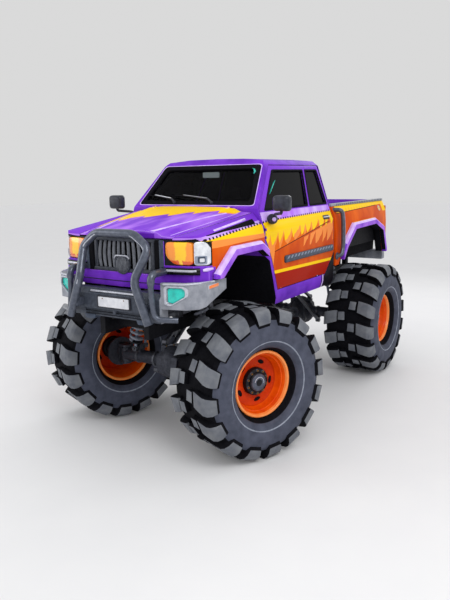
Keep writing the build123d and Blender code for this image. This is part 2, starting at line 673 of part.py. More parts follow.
def rail_frame():
    inner = RAIL_OUTER_X - RAIL_WIDTH
    bottom = RAIL_TOP_Z - RAIL_HEIGHT
    front, rear = BUMPER_REAR_Y + SEAT_GAP, REAR_BUMPER_Y - SEAT_GAP
    body = both_sides(block(inner, RAIL_OUTER_X, front, rear, bottom, RAIL_TOP_Z))
    for share in CROSSMEMBER_SHARES:
        y = blend(RAIL_FRONT_Y, RAIL_REAR_Y, share)
        body += block(
            -inner, inner, y, y + CROSSMEMBER_WIDTH, RAIL_TOP_Z - CROSSMEMBER_HEIGHT, RAIL_TOP_Z
        )
    feet = block(inner, RAIL_OUTER_X, front, front + BRACKET_LENGTH, RAIL_TOP_Z, BUMPER_FOOT_Z)
    feet += block(inner, RAIL_OUTER_X, rear - BRACKET_LENGTH, rear, RAIL_TOP_Z, BUMPER_FOOT_Z)
    middle = RAIL_OUTER_X - RAIL_WIDTH / 2
    for y in (CAB_FRONT_Y + CAB_MOUNT_INSET + 60, CAB_REAR_Y - CAB_MOUNT_INSET):
        feet += bar((middle, y, RAIL_TOP_Z), (middle, y, SILL_Z - SEAT_GAP), MOUNT_RADIUS, 8)
    post = BED_CROSSBEAM / 2
    for y in beam_places():
        feet += block(middle - post, middle + post, y - post, y + post, RAIL_TOP_Z, BED_BEAM_Z - SEAT_GAP)
    half = SHOCK_PAIR_Y - SHOCK_EYE_WIDTH / 2 - SEAT_GAP
    for y in (0, WHEELBASE):
        feet += block(inner, RAIL_OUTER_X, y - half, y + half, RAIL_TOP_Z, SHOCK_UPPER_Z + SHOCK_EYE_RADIUS)
        feet += block(
            inner,
            SHOCK_UPPER_X + SHOCK_EYE_RADIUS,
            y - half,
            y + half,
            SHOCK_UPPER_Z - SHOCK_EYE_RADIUS,
            SHOCK_UPPER_Z + SHOCK_EYE_RADIUS,
        )
    feet += block(
        inner, RAIL_OUTER_X, NOSE_POST_Y, NOSE_POST_Y + NOSE_WALL, RAIL_TOP_Z, FRONT_PANEL_BOTTOM_Z - SEAT_GAP
    )
    return body + both_sides(feet)


def links(lower):
    """The lower or upper link bars of both axles, each with an eye at both ends."""
    bars = []
    for axle_y, towards in ((0, 1), (WHEELBASE, -1)):
        frame_y = axle_y + towards * LINK_LENGTH_Y
        if lower:
            start = (LINK_AXLE_X, axle_y, AXLE_Z - LINK_DROP)
            end = (LINK_FRAME_X, frame_y, RAIL_TOP_Z - RAIL_HEIGHT - SEAT_GAP - EYE_RADIUS)
        else:
            start = (UPPER_LINK_AXLE_X, axle_y, AXLE_Z + UPPER_LINK_RISE)
            end = (
                RAIL_OUTER_X - RAIL_WIDTH - SEAT_GAP - EYE_HALF_WIDTH,
                frame_y - towards * RAIL_HEIGHT,
                RAIL_TOP_Z - RAIL_HEIGHT / 2,
            )
        bar_shape = bar(start, end, LINK_RADIUS, 6)
        for x, y, z in (start, end):
            bar_shape += bar((x - EYE_HALF_WIDTH, y, z), (x + EYE_HALF_WIDTH, y, z), EYE_RADIUS, 7)
        bars.append(both_sides(bar_shape))
    return bars[0] + bars[1]


def along_shock(share):
    low = Vector(SHOCK_LOWER_X, 0, AXLE_Z + SHOCK_LOWER_RISE)
    high = Vector(SHOCK_UPPER_X, 0, SHOCK_UPPER_Z)
    return low + (high - low) * share


def four_corners(ahead, behind=None):
    """One piece at both sides of both axles, ahead of the front one and behind the rear one, and
    another piece across each axle from it."""
    pieces = []
    for axle_y, towards in ((0, -1), (WHEELBASE, 1)):
        for shape, offset in ((ahead, towards * SHOCK_PAIR_Y), (behind, -towards * SHOCK_PAIR_Y)):
            if shape:
                placed = Pos(0, axle_y + offset, 0) * shape
                pieces += [placed, mirror(placed, about=Plane.YZ)]
    return Compound([solid for piece in pieces for solid in piece.solids()])


def shock(carries_spring):
    low, high = along_shock(0), along_shock(1)
    middle = along_shock(1 - SHOCK_BODY_SHARE)
    body = bar(tuple(low), tuple(middle), SHOCK_ROD_RADIUS, 6) + bar(tuple(middle), tuple(high), SHOCK_BODY_RADIUS, 6)
    half = SHOCK_EYE_WIDTH / 2
    for end in (low, high):
        body += bar((end.X, -half, end.Z), (end.X, half, end.Z), SHOCK_EYE_RADIUS, 6)
    for share, towards in ((SPRING_SHARES[0], -1), (SPRING_SHARES[1], 1)) if carries_spring else ():
        seat = along_shock(share)
        beyond = along_shock(share + towards * SPRING_SEAT_SHARE)
        body += bar(tuple(seat), tuple(beyond), SPRING_RADIUS, SPRING_SIDES)
    return body


def spring():
    start = along_shock(SPRING_SHARES[0])
    end = along_shock(SPRING_SHARES[1])
    axis = (end - start).normalized()
    start, end = start + axis * SEAT_GAP, end - axis * SEAT_GAP
    length = (end - start).length
    rings = []
    for index in range(2 * SPRING_TURNS + 1):
        radius = SPRING_RADIUS if index % 2 else SPRING_RADIUS - SPRING_WIRE
        plane = Plane(origin=start + axis * (length * index / (2 * SPRING_TURNS)), z_dir=axis)
        turns = [radians(corner * 360 / SPRING_SIDES) for corner in range(SPRING_SIDES)]
        rings.append([tuple(plane.from_local_coords((radius * cos(turn), radius * sin(turn), 0))) for turn in turns])
    body = faceted(rings)
    return body - bar(tuple(start - axis), tuple(end + axis), SHOCK_BODY_RADIUS + SEAT_GAP, 6)


def drive_shafts():
    front = bar((0, DIFF_NOSE_REACH + SEAT_GAP, AXLE_Z), (0, TRANSFER_FRONT_Y - SEAT_GAP, TRANSFER_Z), DRIVESHAFT_RADIUS)
    rear_end = WHEELBASE - DIFF_NOSE_REACH - SEAT_GAP
    rear = bar((0, TRANSFER_REAR_Y + SEAT_GAP, TRANSFER_Z), (0, rear_end, AXLE_Z), DRIVESHAFT_RADIUS)
    trim = block(-RAIL_OUTER_X, RAIL_OUTER_X, DIFF_NOSE_REACH + SEAT_GAP, TRANSFER_FRONT_Y - SEAT_GAP, 0, RAIL_TOP_Z)
    trim += block(-RAIL_OUTER_X, RAIL_OUTER_X, TRANSFER_REAR_Y + SEAT_GAP, rear_end, 0, RAIL_TOP_Z)
    return (front + rear) & trim


def engine():
    inner = ENGINE_HALF_WIDTH
    body = block(-inner, inner, ENGINE_FRONT_Y, ENGINE_REAR_Y, ENGINE_BOTTOM_Z, ENGINE_TOP_Z)
    for y in (ENGINE_FRONT_Y + 150, ENGINE_REAR_Y - 120):
        body += block(-RAIL_OUTER_X, RAIL_OUTER_X, y, y + 80, RAIL_TOP_Z + SEAT_GAP, ENGINE_BOTTOM_Z + 30)
    half = GEARBOX_HALF_WIDTH
    body += block(-half, half, ENGINE_REAR_Y - 100, TRANSFER_FRONT_Y + 60, GEARBOX_BOTTOM_Z, GEARBOX_TOP_Z)
    return body + block(-half, half, TRANSFER_FRONT_Y, TRANSFER_REAR_Y, TRANSFER_Z - 110, RAIL_TOP_Z - CROSSMEMBER_HEIGHT)


# Body

def side_half():
    return [(a * BODY_HALF_WIDTH, blend(SILL_Z, WINDOW_Z, b)) for a, b in SIDE_SHARES]


def body_section(inset=0):
    """The body as seen from the front, from the sills to the crown of the roof."""
    roof = [(RAIL_X, RAIL_Z)] + [(a * RAIL_X, blend(RAIL_Z, ROOF_Z, b)) for a, b in ROOF_SHARES]
    half = side_half() + roof
    outline = half + [(-x, z) for x, z in reversed(half[:-1])]
    return grown(outline, -inset) if inset else face_of(outline)


def body_prism(low, high, inset=0):
    plane = Plane(origin=(0, high, 0), x_dir=(1, 0, 0), z_dir=(0, -1, 0))
    return extrude(plane * body_section(inset), amount=high - low)


def front_arch():
    points = [(-FRONT_ARCH_AHEAD, FRONT_ARCH_FOOT_AHEAD_Z)]
    for reach, rise in FRONT_ARCH_SHARES:
        foot = FRONT_ARCH_FOOT_AHEAD_Z if reach < 0 else SILL_Z
        length = FRONT_ARCH_AHEAD if reach < 0 else FRONT_ARCH_BEHIND
        points.append((reach * length, blend(foot, FRONT_ARCH_TOP_Z, rise)))
    return points + [(FRONT_ARCH_BEHIND, SILL_Z), (FRONT_ARCH_BEHIND, SILL_Z - OVERRUN), (-FRONT_ARCH_AHEAD, SILL_Z - OVERRUN)]


def rear_arch():
    points = [(WHEELBASE - REAR_ARCH_AHEAD, REAR_ARCH_FOOT_Z)]
    for reach, rise in REAR_ARCH_SHARES:
        length = REAR_ARCH_AHEAD if reach < 0 else REAR_ARCH_BEHIND
        points.append((WHEELBASE + reach * length, blend(REAR_ARCH_FOOT_Z, REAR_ARCH_TOP_Z, rise)))
    foot = BED_SIDE_BOTTOM_Z - OVERRUN
    end = WHEELBASE + REAR_ARCH_BEHIND
    return points + [(end, REAR_ARCH_FOOT_Z), (end, foot), (WHEELBASE - REAR_ARCH_AHEAD, foot)]


def cab_profile():
    """The cab as seen from the side."""
    return (
        (CAB_FRONT_Y, SILL_Z),
        (CAB_FRONT_Y, COWL_Z),
        (SCREEN_TOP_Y, SCREEN_TOP_Z),
        (SCREEN_TOP_Y + 90, ROOF_Z + 1),
        (ROOF_REAR_Y, ROOF_Z + 1),
        (CAB_REAR_Y, RAIL_Z - 20),
        (CAB_REAR_Y, SILL_Z),
    )


screen_angle = atan2(SCREEN_TOP_Z - COWL_Z, SCREEN_TOP_Y - CAB_FRONT_Y)
screen_length = hypot(SCREEN_TOP_Z - COWL_Z, SCREEN_TOP_Y - CAB_FRONT_Y)
SCREEN = Plane(
    origin=(0, CAB_FRONT_Y, COWL_Z), x_dir=(1, 0, 0), z_dir=(0, -sin(screen_angle), cos(screen_angle))
)
REAR_SCREEN = Plane(origin=(0, CAB_REAR_Y, 0), x_dir=(-1, 0, 0), z_dir=(0, 1, 0))


def trapezium(foot_half, top_half, foot, top):
    return ((-foot_half, foot), (foot_half, foot), (top_half, top), (-top_half, top))


def screen_outline():
    return trapezium(SCREEN_HALF_FOOT, SCREEN_HALF_TOP, SCREEN_FRAME, screen_length - SCREEN_FRAME)


def rear_screen_outline():
    return trapezium(REAR_WINDOW_HALF_FOOT, REAR_WINDOW_HALF_TOP, REAR_WINDOW_FOOT_Z, REAR_WINDOW_TOP_Z)


def through(plane, outline, out, into):
    """The outline on a plane, solid from `out` in front of it to `into` behind it."""
    return extrude(plane.offset(out) * face_of(outline), amount=-(out + into))


def door_outline():
    rear = CAB_REAR_Y - DOOR_REAR_POST
    front = CAB_FRONT_Y + DOOR_POST
    return (
        (DOOR_FOOT_Y, DOOR_BOTTOM_Z),
        (DOOR_KNEE_Y, DOOR_KNEE_Z),
        (front, DOOR_KINK_Z),
        (front, WINDOW_Z),
        (DOOR_TOP_FRONT_Y, DOOR_TOP_Z),
        (rear - DOOR_TOP_SETBACK, DOOR_TOP_Z),
        (rear, WINDOW_Z - 150),
        (rear, DOOR_BOTTOM_Z + DOOR_HEEL_Z),
        (rear - DOOR_HEEL_Y, DOOR_BOTTOM_Z),
    )


def door_opening():
    rear = CAB_REAR_Y - DOOR_REAR_POST
    outline = list(door_outline())
    outline[5] = (rear, DOOR_TOP_Z)
    return grown(outline[:6] + outline[7:], PANEL_GAP)


def window_outline():
    lean = (DOOR_TOP_FRONT_Y - CAB_FRONT_Y - DOOR_POST) / (DOOR_TOP_Z - WINDOW_Z)
    foot, top = WINDOW_Z, DOOR_TOP_Z - DOOR_FRAME
    front = CAB_FRONT_Y + DOOR_POST + DOOR_FRAME_FRONT * hypot(1, lean)
    return ((front, foot), (front + (top - foot) * lean, top), (DIVIDER_TOP_Y, top), (DIVIDER_FOOT_Y, foot))


def quarter_outline():
    foot, top = WINDOW_Z, DOOR_TOP_Z - DOOR_FRAME
    rear = CAB_REAR_Y - DOOR_REAR_POST - DOOR_FRAME
    return (
        (DIVIDER_FOOT_Y + DIVIDER_WIDTH, foot),
        (DIVIDER_TOP_Y + DIVIDER_WIDTH, top),
        (rear - DOOR_TOP_SETBACK, top),
        (rear, foot),
    )


def hinge_part(low, high, leaf_low, leaf_high):
    """A knuckle on the door's hinge line, with a leaf that runs into the panel."""
    knuckle_shape = bar((HINGE_X, HINGE_Y, low), (HINGE_X, HINGE_Y, high), HINGE_RADIUS)
    return knuckle_shape + block(HINGE_X - 40, HINGE_X, *sorted((leaf_low, leaf_high)), low, high)


def cab():
    body = body_prism(CAB_FRONT_Y, CAB_REAR_Y) & prism_x(cab_profile(), -CUT_X, CUT_X)
    body -= prism_x(front_arch(), -CUT_X, CUT_X)
    inner_profile = grown(cab_profile(), -BULKHEAD)
    hollow = body_prism(CAB_FRONT_Y, CAB_REAR_Y, CAB_WALL) & extrude(Plane.YZ.offset(-CUT_X) * inner_profile, amount=2 * CUT_X)
    hollow -= prism_x(grown(front_arch(), BULKHEAD), -CUT_X, CUT_X)
    hollow -= block(-CUT_X, CUT_X, CAB_FRONT_Y, CAB_REAR_Y, SILL_Z, FLOOR_TOP_Z)
    body -= hollow
    body -= through(SCREEN, screen_outline(), OVERRUN, 200)
    body -= through(REAR_SCREEN, rear_screen_outline(), OVERRUN, 200)
    body -= both_sides(prism_x(door_opening(), DOOR_CUT_X, CUT_X))
    for z in DOOR_HINGE_Z:
        body -= both_sides(bar((HINGE_X, HINGE_Y, z - HINGE_CLEARANCE), (HINGE_X, HINGE_Y, z + HINGE_LENGTH + HINGE_CLEARANCE), HINGE_RADIUS + HINGE_CLEARANCE))
        body += both_sides(hinge_part(z, z + HINGE_LENGTH / 2 - HALF_GAP, HINGE_Y - 25, HINGE_Y))
    for x in (HOOD_HINGE_X,):
        body += both_sides(
            bar((x + HALF_GAP, HOOD_HINGE_Y, HOOD_HINGE_Z), (x + 31, HOOD_HINGE_Y, HOOD_HINGE_Z), HOOD_HINGE_RADIUS)
            + block(x + HALF_GAP, x + 31, HOOD_HINGE_Y, CAB_FRONT_Y + 10, HOOD_HINGE_Z - 20, HOOD_HINGE_Z)
        )
    return body


def cab_glass():
    front = through(SCREEN, screen_outline(), -GLASS_INSET, GLASS_INSET + GLASS_THICKNESS)
    rear = through(REAR_SCREEN, rear_screen_outline(), -GLASS_INSET, GLASS_INSET + GLASS_THICKNESS)
    return front + rear


def door():
    wall = body_prism(CAB_FRONT_Y, CAB_REAR_Y) - body_prism(CAB_FRONT_Y - 1, CAB_REAR_Y + 1, DOOR_THICKNESS)
    body = wall & prism_x(door_outline(), DOOR_CUT_X, CUT_X)
    body -= prism_x(window_outline(), DOOR_CUT_X, CUT_X) + prism_x(quarter_outline(), DOOR_CUT_X, CUT_X)
    for z in DOOR_HINGE_Z:
        body -= bar((HINGE_X, HINGE_Y, z - HINGE_CLEARANCE), (HINGE_X, HINGE_Y, z + HINGE_LENGTH + HINGE_CLEARANCE), HINGE_RADIUS + HINGE_CLEARANCE)
        body += hinge_part(z + HINGE_LENGTH / 2 + HALF_GAP, z + HINGE_LENGTH, HINGE_Y, HINGE_Y + 35)
    return body


def door_glass():
    outer, inner = GLASS_INSET, GLASS_INSET + GLASS_THICKNESS
    wall = body_prism(CAB_FRONT_Y, CAB_REAR_Y, outer) - body_prism(CAB_FRONT_Y - 1, CAB_REAR_Y + 1, inner)
    windows = prism_x(window_outline(), DOOR_CUT_X, CUT_X) + prism_x(quarter_outline(), DOOR_CUT_X, CUT_X)
    return wall & windows


def door_trim():
    """Rub strip and handle on the outside of the door."""
    rear = CAB_REAR_Y - DOOR_REAR_POST - STRIP_REAR_INSET
    half = STRIP_HEIGHT / 2
    face = BODY_HALF_WIDTH + SEAT_GAP
    strip = block(face, face + STRIP_THICKNESS, STRIP_FRONT_Y, rear, STRIP_Z - half, STRIP_Z + half)
    handle_y = CAB_REAR_Y - HANDLE_REAR_INSET
    handle = block(HANDLE_X, HANDLE_X + HANDLE_THICKNESS + 20, handle_y - HANDLE_LENGTH / 2, handle_y + HANDLE_LENGTH / 2, HANDLE_Z - HANDLE_HEIGHT / 2, HANDLE_Z + HANDLE_HEIGHT / 2)
    handle -= body_prism(CAB_FRONT_Y, CAB_REAR_Y, -SEAT_GAP)
    return strip + handle


def door_mirror():
    head = block(
        MIRROR_X - MIRROR_WIDTH / 2,
        MIRROR_X + MIRROR_WIDTH / 2,
        MIRROR_Y - MIRROR_DEPTH / 2,
        MIRROR_Y + MIRROR_DEPTH / 2,
        MIRROR_Z - MIRROR_HEIGHT / 2,
        MIRROR_Z + MIRROR_HEIGHT / 2,
    )
    arm = bar((MIRROR_FOOT_X, MIRROR_FOOT_Y, MIRROR_FOOT_Z), (MIRROR_X, MIRROR_Y, MIRROR_Z), MIRROR_ARM_RADIUS, 6)
    ball = Pos(MIRROR_FOOT_X, MIRROR_FOOT_Y, MIRROR_FOOT_Z) * Rot(0, 90, 0) * extrude(RegularPolygon(MIRROR_BALL_RADIUS, 10), amount=MIRROR_BALL_RADIUS, both=True)
    return (head + arm + ball) - body_prism(CAB_FRONT_Y, CAB_REAR_Y, -SEAT_GAP)


# Front of the body

def nose_plan(inset=0):
    """The front of the body from above, closed behind the fenders."""
    half = [(a * BODY_HALF_WIDTH, NOSE_Y * b) for a, b in NOSE_SHARES]
    outline = half + [(BODY_HALF_WIDTH, CAB_FRONT_Y), (-BODY_HALF_WIDTH, CAB_FRONT_Y)]
    outline += [(-x, y) for x, y in reversed(half[1:])]
    return grown(outline, -inset) if inset else face_of(outline)


def nose_prism(low, high, inset=0):
    return extrude(Plane.XY.offset(low) * nose_plan(inset), amount=high - low)


def nose_band(low, high, depth):
    return nose_prism(low, high) - nose_prism(low - 1, high + 1, depth)


def fender_profile(share):
    """The fender as seen from the front, at a share of the way from the nose to the cab."""
    top = (
        (BODY_HALF_WIDTH, FENDER_BOTTOM_Z),
        (BODY_HALF_WIDTH, blend(FENDER_SIDE_FRONT_Z, FENDER_SIDE_REAR_Z, share)),
        (FENDER_SHOULDER_X, blend(FENDER_SHOULDER_FRONT_Z, FENDER_SHOULDER_REAR_Z, share)),
        (FENDER_TOP_X, blend(FENDER_TOP_FRONT_Z, FENDER_TOP_REAR_Z, share)),
        (hood_edge(share) + PANEL_GAP, hood_edge_z(share)),
    )
    skin = [(x - FENDER_SKIN, z - (0 if z == FENDER_BOTTOM_Z else FENDER_SKIN / 2)) for x, z in top[:3]]
    skin += [(top[3][0] - FENDER_SKIN / 4, top[3][1] - FENDER_SKIN), (top[4][0], top[4][1] - FENDER_SKIN)]
    return list(top) + skin[::-1]


def hood_edge(share):
    return blend(HOOD_FRONT_EDGE_X, HOOD_REAR_EDGE_X, share)


def hood_edge_z(share):
    return blend(HOOD_FRONT_Z, HOOD_REAR_Z, share) - HOOD_EDGE_DROP


def across(points, y):
    return [(x, y, z) for x, z in points]


def front_fenders():
    rear = CAB_FRONT_Y - PANEL_GAP
    body = faceted([across(fender_profile(0), NOSE_Y), across(fender_profile(1), rear)])
    body &= nose_prism(FENDER_BOTTOM_Z - 1, CUT_TOP_Z)
    body -= prism_x(front_arch(), FENDER_TOP_X - OVERRUN, CUT_X)
    body -= block(0, CUT_X, NOSE_CUT_FRONT_Y, LAMP_REAR_Y, 0, LAMP_TOP_Z + SEAT_GAP)
    return both_sides(body)


def hood():
    def profile(share, inset):
        edge, crown = hood_edge(share) - inset / 2, blend(HOOD_FRONT_Z, HOOD_REAR_Z, share) - inset
        return [(a * edge, crown - b * (HOOD_EDGE_DROP - 0.6 * inset)) for a, b in HOOD_SHARES]

    def section(share, y):
        top, under = profile(share, 0), profile(share, HOOD_SKIN)
        right = [(-x, z) for x, z in top[1:]]
        right_under = [(-x, z) for x, z in under[1:]]
        outline = right[::-1] + top + under[::-1] + right_under
        return across(outline, y)

    body = faceted([section(0, NOSE_Y), section(1, HOOD_REAR_Y)])
    lip = nose_band(HOOD_LIP_Z, HOOD_FRONT_Z, HOOD_SKIN) & faceted(
        [across(hood_envelope(0), NOSE_Y), across(hood_envelope(1), HOOD_REAR_Y)]
    )
    body = (body & nose_prism(FENDER_BOTTOM_Z, CUT_TOP_Z)) + (lip & block(-CUT_X, CUT_X, NOSE_CUT_FRONT_Y, 0, 0, CUT_TOP_Z))
    for side in (-1, 1):
        x = side * HOOD_HINGE_X
        low, high = sorted((x - side * HALF_GAP, x - side * 31))
        body += bar((low, HOOD_HINGE_Y, HOOD_HINGE_Z), (high, HOOD_HINGE_Y, HOOD_HINGE_Z), HOOD_HINGE_RADIUS)
        body += block(low, high, HOOD_REAR_Y - 40, HOOD_HINGE_Y, HOOD_HINGE_Z - 30, HOOD_HINGE_Z)
    return body


def hood_envelope(share):
    edge, crown = hood_edge(share), blend(HOOD_FRONT_Z, HOOD_REAR_Z, share)
    top = [(a * edge, crown - b * HOOD_EDGE_DROP) for a, b in HOOD_SHARES]
    return [(-x, z) for x, z in reversed(top[1:])] + top + [(edge, FENDER_BOTTOM_Z), (-edge, FENDER_BOTTOM_Z)]


def front_panel():
    body = nose_band(FRONT_PANEL_BOTTOM_Z, LAMP_TOP_Z, NOSE_WALL)
    body &= block(-CUT_X, CUT_X, NOSE_CUT_FRONT_Y, LAMP_REAR_Y - SEAT_GAP, 0, CUT_TOP_Z)
    body -= block(-GRILLE_HALF_WIDTH, GRILLE_HALF_WIDTH, NOSE_CUT_FRONT_Y, NOSE_CUT_REAR_Y, GRILLE_BOTTOM_Z, GRILLE_TOP_Z)
    body -= both_sides(block(LAMP_INNER_X, CUT_X, NOSE_CUT_FRONT_Y, 0, LAMP_BOTTOM_Z - SEAT_GAP, CUT_TOP_Z))
    body -= block(-GRILLE_HALF_WIDTH - NOSE_HALF_WIDTH_GAP, GRILLE_HALF_WIDTH + NOSE_HALF_WIDTH_GAP, NOSE_CUT_FRONT_Y, NOSE_CUT_REAR_Y, GRILLE_TOP_Z - 1, CUT_TOP_Z)
    return body


def grille():
    gap = SEAT_GAP
    box = block(
        -GRILLE_HALF_WIDTH + gap, GRILLE_HALF_WIDTH - gap, NOSE_CUT_FRONT_Y, NOSE_CUT_REAR_Y, GRILLE_BOTTOM_Z + gap, GRILLE_TOP_Z - gap
    )
    frame_depth = nose_band(GRILLE_BOTTOM_Z, GRILLE_TOP_Z, GRILLE_DEPTH + 20) & box
    inner = GRILLE_HALF_WIDTH - GRILLE_FRAME
    frame_depth -= block(-inner, inner, NOSE_CUT_FRONT_Y, NOSE_CUT_REAR_Y, GRILLE_BOTTOM_Z + GRILLE_FRAME, GRILLE_TOP_Z - GRILLE_FRAME)
    back = nose_band(GRILLE_BOTTOM_Z, GRILLE_TOP_Z, GRILLE_DEPTH + 20) - nose_band(0, CUT_TOP_Z, GRILLE_DEPTH)
    body = frame_depth + (back & box)
    ribs = nose_band(GRILLE_BOTTOM_Z, GRILLE_TOP_Z, GRILLE_DEPTH + 10) - nose_band(0, CUT_TOP_Z, GRILLE_DEPTH - GRILLE_RIB_DEPTH)
    for index in range(GRILLE_RIB_COUNT):
        x = blend(-inner, inner, (index + 0.5) / GRILLE_RIB_COUNT)
        body += ribs & block(x - GRILLE_RIB_WIDTH / 2, x + GRILLE_RIB_WIDTH / 2, NOSE_CUT_FRONT_Y, NOSE_CUT_REAR_Y, GRILLE_BOTTOM_Z + GRILLE_FRAME - 1, GRILLE_TOP_Z - GRILLE_FRAME + 1)
    badge = bar((0, NOSE_Y - GRILLE_BADGE_DEPTH, GRILLE_BADGE_Z), (0, NOSE_Y + GRILLE_DEPTH, GRILLE_BADGE_Z), GRILLE_BADGE_RADIUS, 16)
    return body + badge


def lamps(low_x, high_x):
    body = nose_band(LAMP_BOTTOM_Z, LAMP_TOP_Z, LAMP_DEPTH)
    body &= block(low_x, high_x, NOSE_CUT_FRONT_Y, LAMP_REAR_Y - SEAT_GAP, 0, CUT_TOP_Z)
    return both_sides(body)


def flare(arch, y_low, y_high, bottom):
    """A band round an arch, standing out of the side, with its outer edge bevelled."""
    ring = prism_x(grown(arch, FLARE_WIDTH), BODY_HALF_WIDTH + SEAT_GAP, BODY_HALF_WIDTH + FLARE_OUT)
    ring = chamfer(ring.faces().sort_by(Axis.X)[-1].edges(), FLARE_BEVEL)
    ring -= prism_x(arch, BODY_HALF_WIDTH - OVERRUN, CUT_X)
    return ring & block(BODY_HALF_WIDTH, CUT_X, y_low, y_high, bottom, CUT_TOP_Z)


def flares():
    front = flare(front_arch(), NOSE_Y, CAB_FRONT_Y - PANEL_GAP, FENDER_BOTTOM_Z)
    rear = flare(rear_arch(), HOOP_Y + HOOP_RADIUS + HOOP_TO_FLARE, BED_REAR_Y, BED_SIDE_BOTTOM_Z)
    return both_sides(front + rear)


# Bumpers and bull bar

def front_bumper():
    outline = [
        (blend(BUMPER_FRONT_Y, BUMPER_REAR_Y, a), blend(BUMPER_BOTTOM_Z, BUMPER_TOP_Z, b)) for a, b in BUMPER_SHARES
    ]
    body = prism_x(outline, -BUMPER_HALF_WIDTH, BUMPER_HALF_WIDTH)
    front = BUMPER_FRONT_Y + BUMPER_END_SETBACK
    ends = prism_x(
        (
            (front, BUMPER_END_BOTTOM_Z),
            (front, BUMPER_END_TOP_Z),
            (BUMPER_END_Y, BUMPER_END_TOP_Z),
            (BUMPER_END_Y, BUMPER_END_TIP_Z),
            (BUMPER_REAR_Y + 60, BUMPER_END_BOTTOM_Z),
        ),
        BUMPER_HALF_WIDTH - 1,
        BUMPER_END_X,
    )
    plan = bumper_end_plan()
    inner = [(x - BUMPER_END_WALL * 0.8, y + BUMPER_END_WALL) for x, y in plan]
    inner[0] = (plan[0][0], plan[0][1] + BUMPER_END_WALL)
    inner[-1] = (plan[-1][0] - BUMPER_END_WALL, plan[-1][1])
    ends &= prism_z(plan + inner[::-1], BUMPER_BOTTOM_Z, BUMPER_END_TOP_Z + OVERRUN)
    ends -= nose_prism(BUMPER_BOTTOM_Z, BUMPER_END_TOP_Z + OVERRUN, -SEAT_GAP)
    ends -= fog_fill(0, FOG_DEPTH)
    low, high = (blend(BUMPER_BOTTOM_Z, BUMPER_TOP_Z, share) for share in BUMPER_SLOT_SHARES)
    slot = block(
        BUMPER_SLOT_INNER_X, BUMPER_SLOT_OUTER_X, BUMPER_FRONT_Y - OVERRUN, BUMPER_FRONT_Y + BUMPER_SLOT_DEPTH, low, high
    )
    return body - both_sides(slot) + both_sides(ends)


def bumper_end_plan():
    """The front edge of the bumper's left end from above, from the middle part out to the tip."""
    front = BUMPER_FRONT_Y + BUMPER_END_SETBACK
    plan = [
        (blend(BUMPER_HALF_WIDTH - 2, BUMPER_END_X, a), blend(BUMPER_END_Y, front, b)) for a, b in BUMPER_END_SHARES
    ]
    return [(plan[0][0], front)] + plan[1:]


def fog_fill(low, high, inset=0):
    """The fog lamp's pocket between two depths below the bumper's face."""
    outline = [(blend(FOG_INNER_X, FOG_OUTER_X, a), blend(FOG_BOTTOM_Z, FOG_TOP_Z, b)) for a, b in FOG_SHARES]
    outline = grown(outline, -inset) if inset else outline
    plan = bumper_end_plan()
    outer = [(x, y + low - (OVERRUN if low == 0 else 0)) for x, y in plan]
    inner = [(x, y + high) for x, y in plan]
    band = prism_z(outer + inner[::-1], BUMPER_BOTTOM_Z, BUMPER_END_TOP_Z)
    return prism_y(outline, BUMPER_FRONT_Y - OVERRUN, BUMPER_REAR_Y) & band


def fog_lamps():
    return both_sides(fog_fill(FOG_DEPTH - FOG_LENS_DEPTH, FOG_DEPTH - SEAT_GAP, SEAT_GAP))


def bull_bar():
    points = [
        (BULL_FOOT_HALF, BUMPER_FRONT_Y - SEAT_GAP, BULL_FOOT_Z),
        (BULL_FOOT_HALF, BULL_WAIST_Y, BULL_FOOT_Z),
        (BULL_WAIST_HALF, BULL_WAIST_Y, BULL_WAIST_Z),
        (BULL_SHOULDER_HALF, BULL_TOP_Y, BULL_SHOULDER_Z),
        (BULL_TOP_HALF, BULL_TOP_Y, BULL_TOP_Z),
    ]
    points += [(-x, y, z) for x, y, z in reversed(points)]
    loop = (
        (SIDE_TUBE_X, NOSE_Y * NOSE_SHARES[1][1] - SEAT_GAP, SIDE_TUBE_TOP_Z),
        (SIDE_TUBE_X, SIDE_TUBE_Y, SIDE_TUBE_TOP_Z),
        (SIDE_TUBE_X, SIDE_TUBE_Y, BUMPER_TOP_Z),
        (BULL_FOOT_HALF + BULL_TUBE_RADIUS, SIDE_TUBE_Y, SIDE_TUBE_FOOT_Z),
        (SIDE_TUBE_OUT_X, SIDE_TUBE_END_Y, SIDE_TUBE_FOOT_Z),
    )
    loops = both_sides(mitred(loop, SIDE_TUBE_RADIUS, 6)) - nose_prism(BUMPER_BOTTOM_Z, CUT_TOP_Z, -SEAT_GAP)
    return mitred(points, BULL_TUBE_RADIUS) + loops


def mitred(points, radius, sides=8):
    """A bar of few flat sides, mitred at its corners."""
    path = Polyline(*points)
    section = Plane(origin=path @ 0, z_dir=path % 0) * RegularPolygon(radius, sides)
    return sweep(section, path=path, transition=Transition.RIGHT)


def rear_bumper():
    return block(
        -REAR_BUMPER_HALF_WIDTH, REAR_BUMPER_HALF_WIDTH, REAR_BUMPER_Y, REAR_BUMPER_Y + REAR_BUMPER_DEPTH, REAR_BUMPER_BOTTOM_Z, REAR_BUMPER_TOP_Z
    )


# Bed

def bed_sides():
    outline = [(x, z) for x, z in side_half() if BED_SIDE_BOTTOM_Z < z < BED_RAIL_Z]
    inner = BED_INNER_X + BED_LINER + SEAT_GAP
    foot, rim_x = BODY_HALF_WIDTH - 2, BED_RAIL_X - 5
    outline = [(foot, BED_SIDE_BOTTOM_Z)] + outline + [(rim_x, BED_RAIL_Z - BED_RAIL_HEIGHT), (inner, BED_RAIL_Z - BED_RAIL_HEIGHT), (inner, BED_SIDE_BOTTOM_Z)]
    body = prism_y(outline, BED_FRONT_Y, BED_REAR_Y) - prism_x(rear_arch(), BED_INNER_X - OVERRUN, CUT_X)
    return both_sides(body)


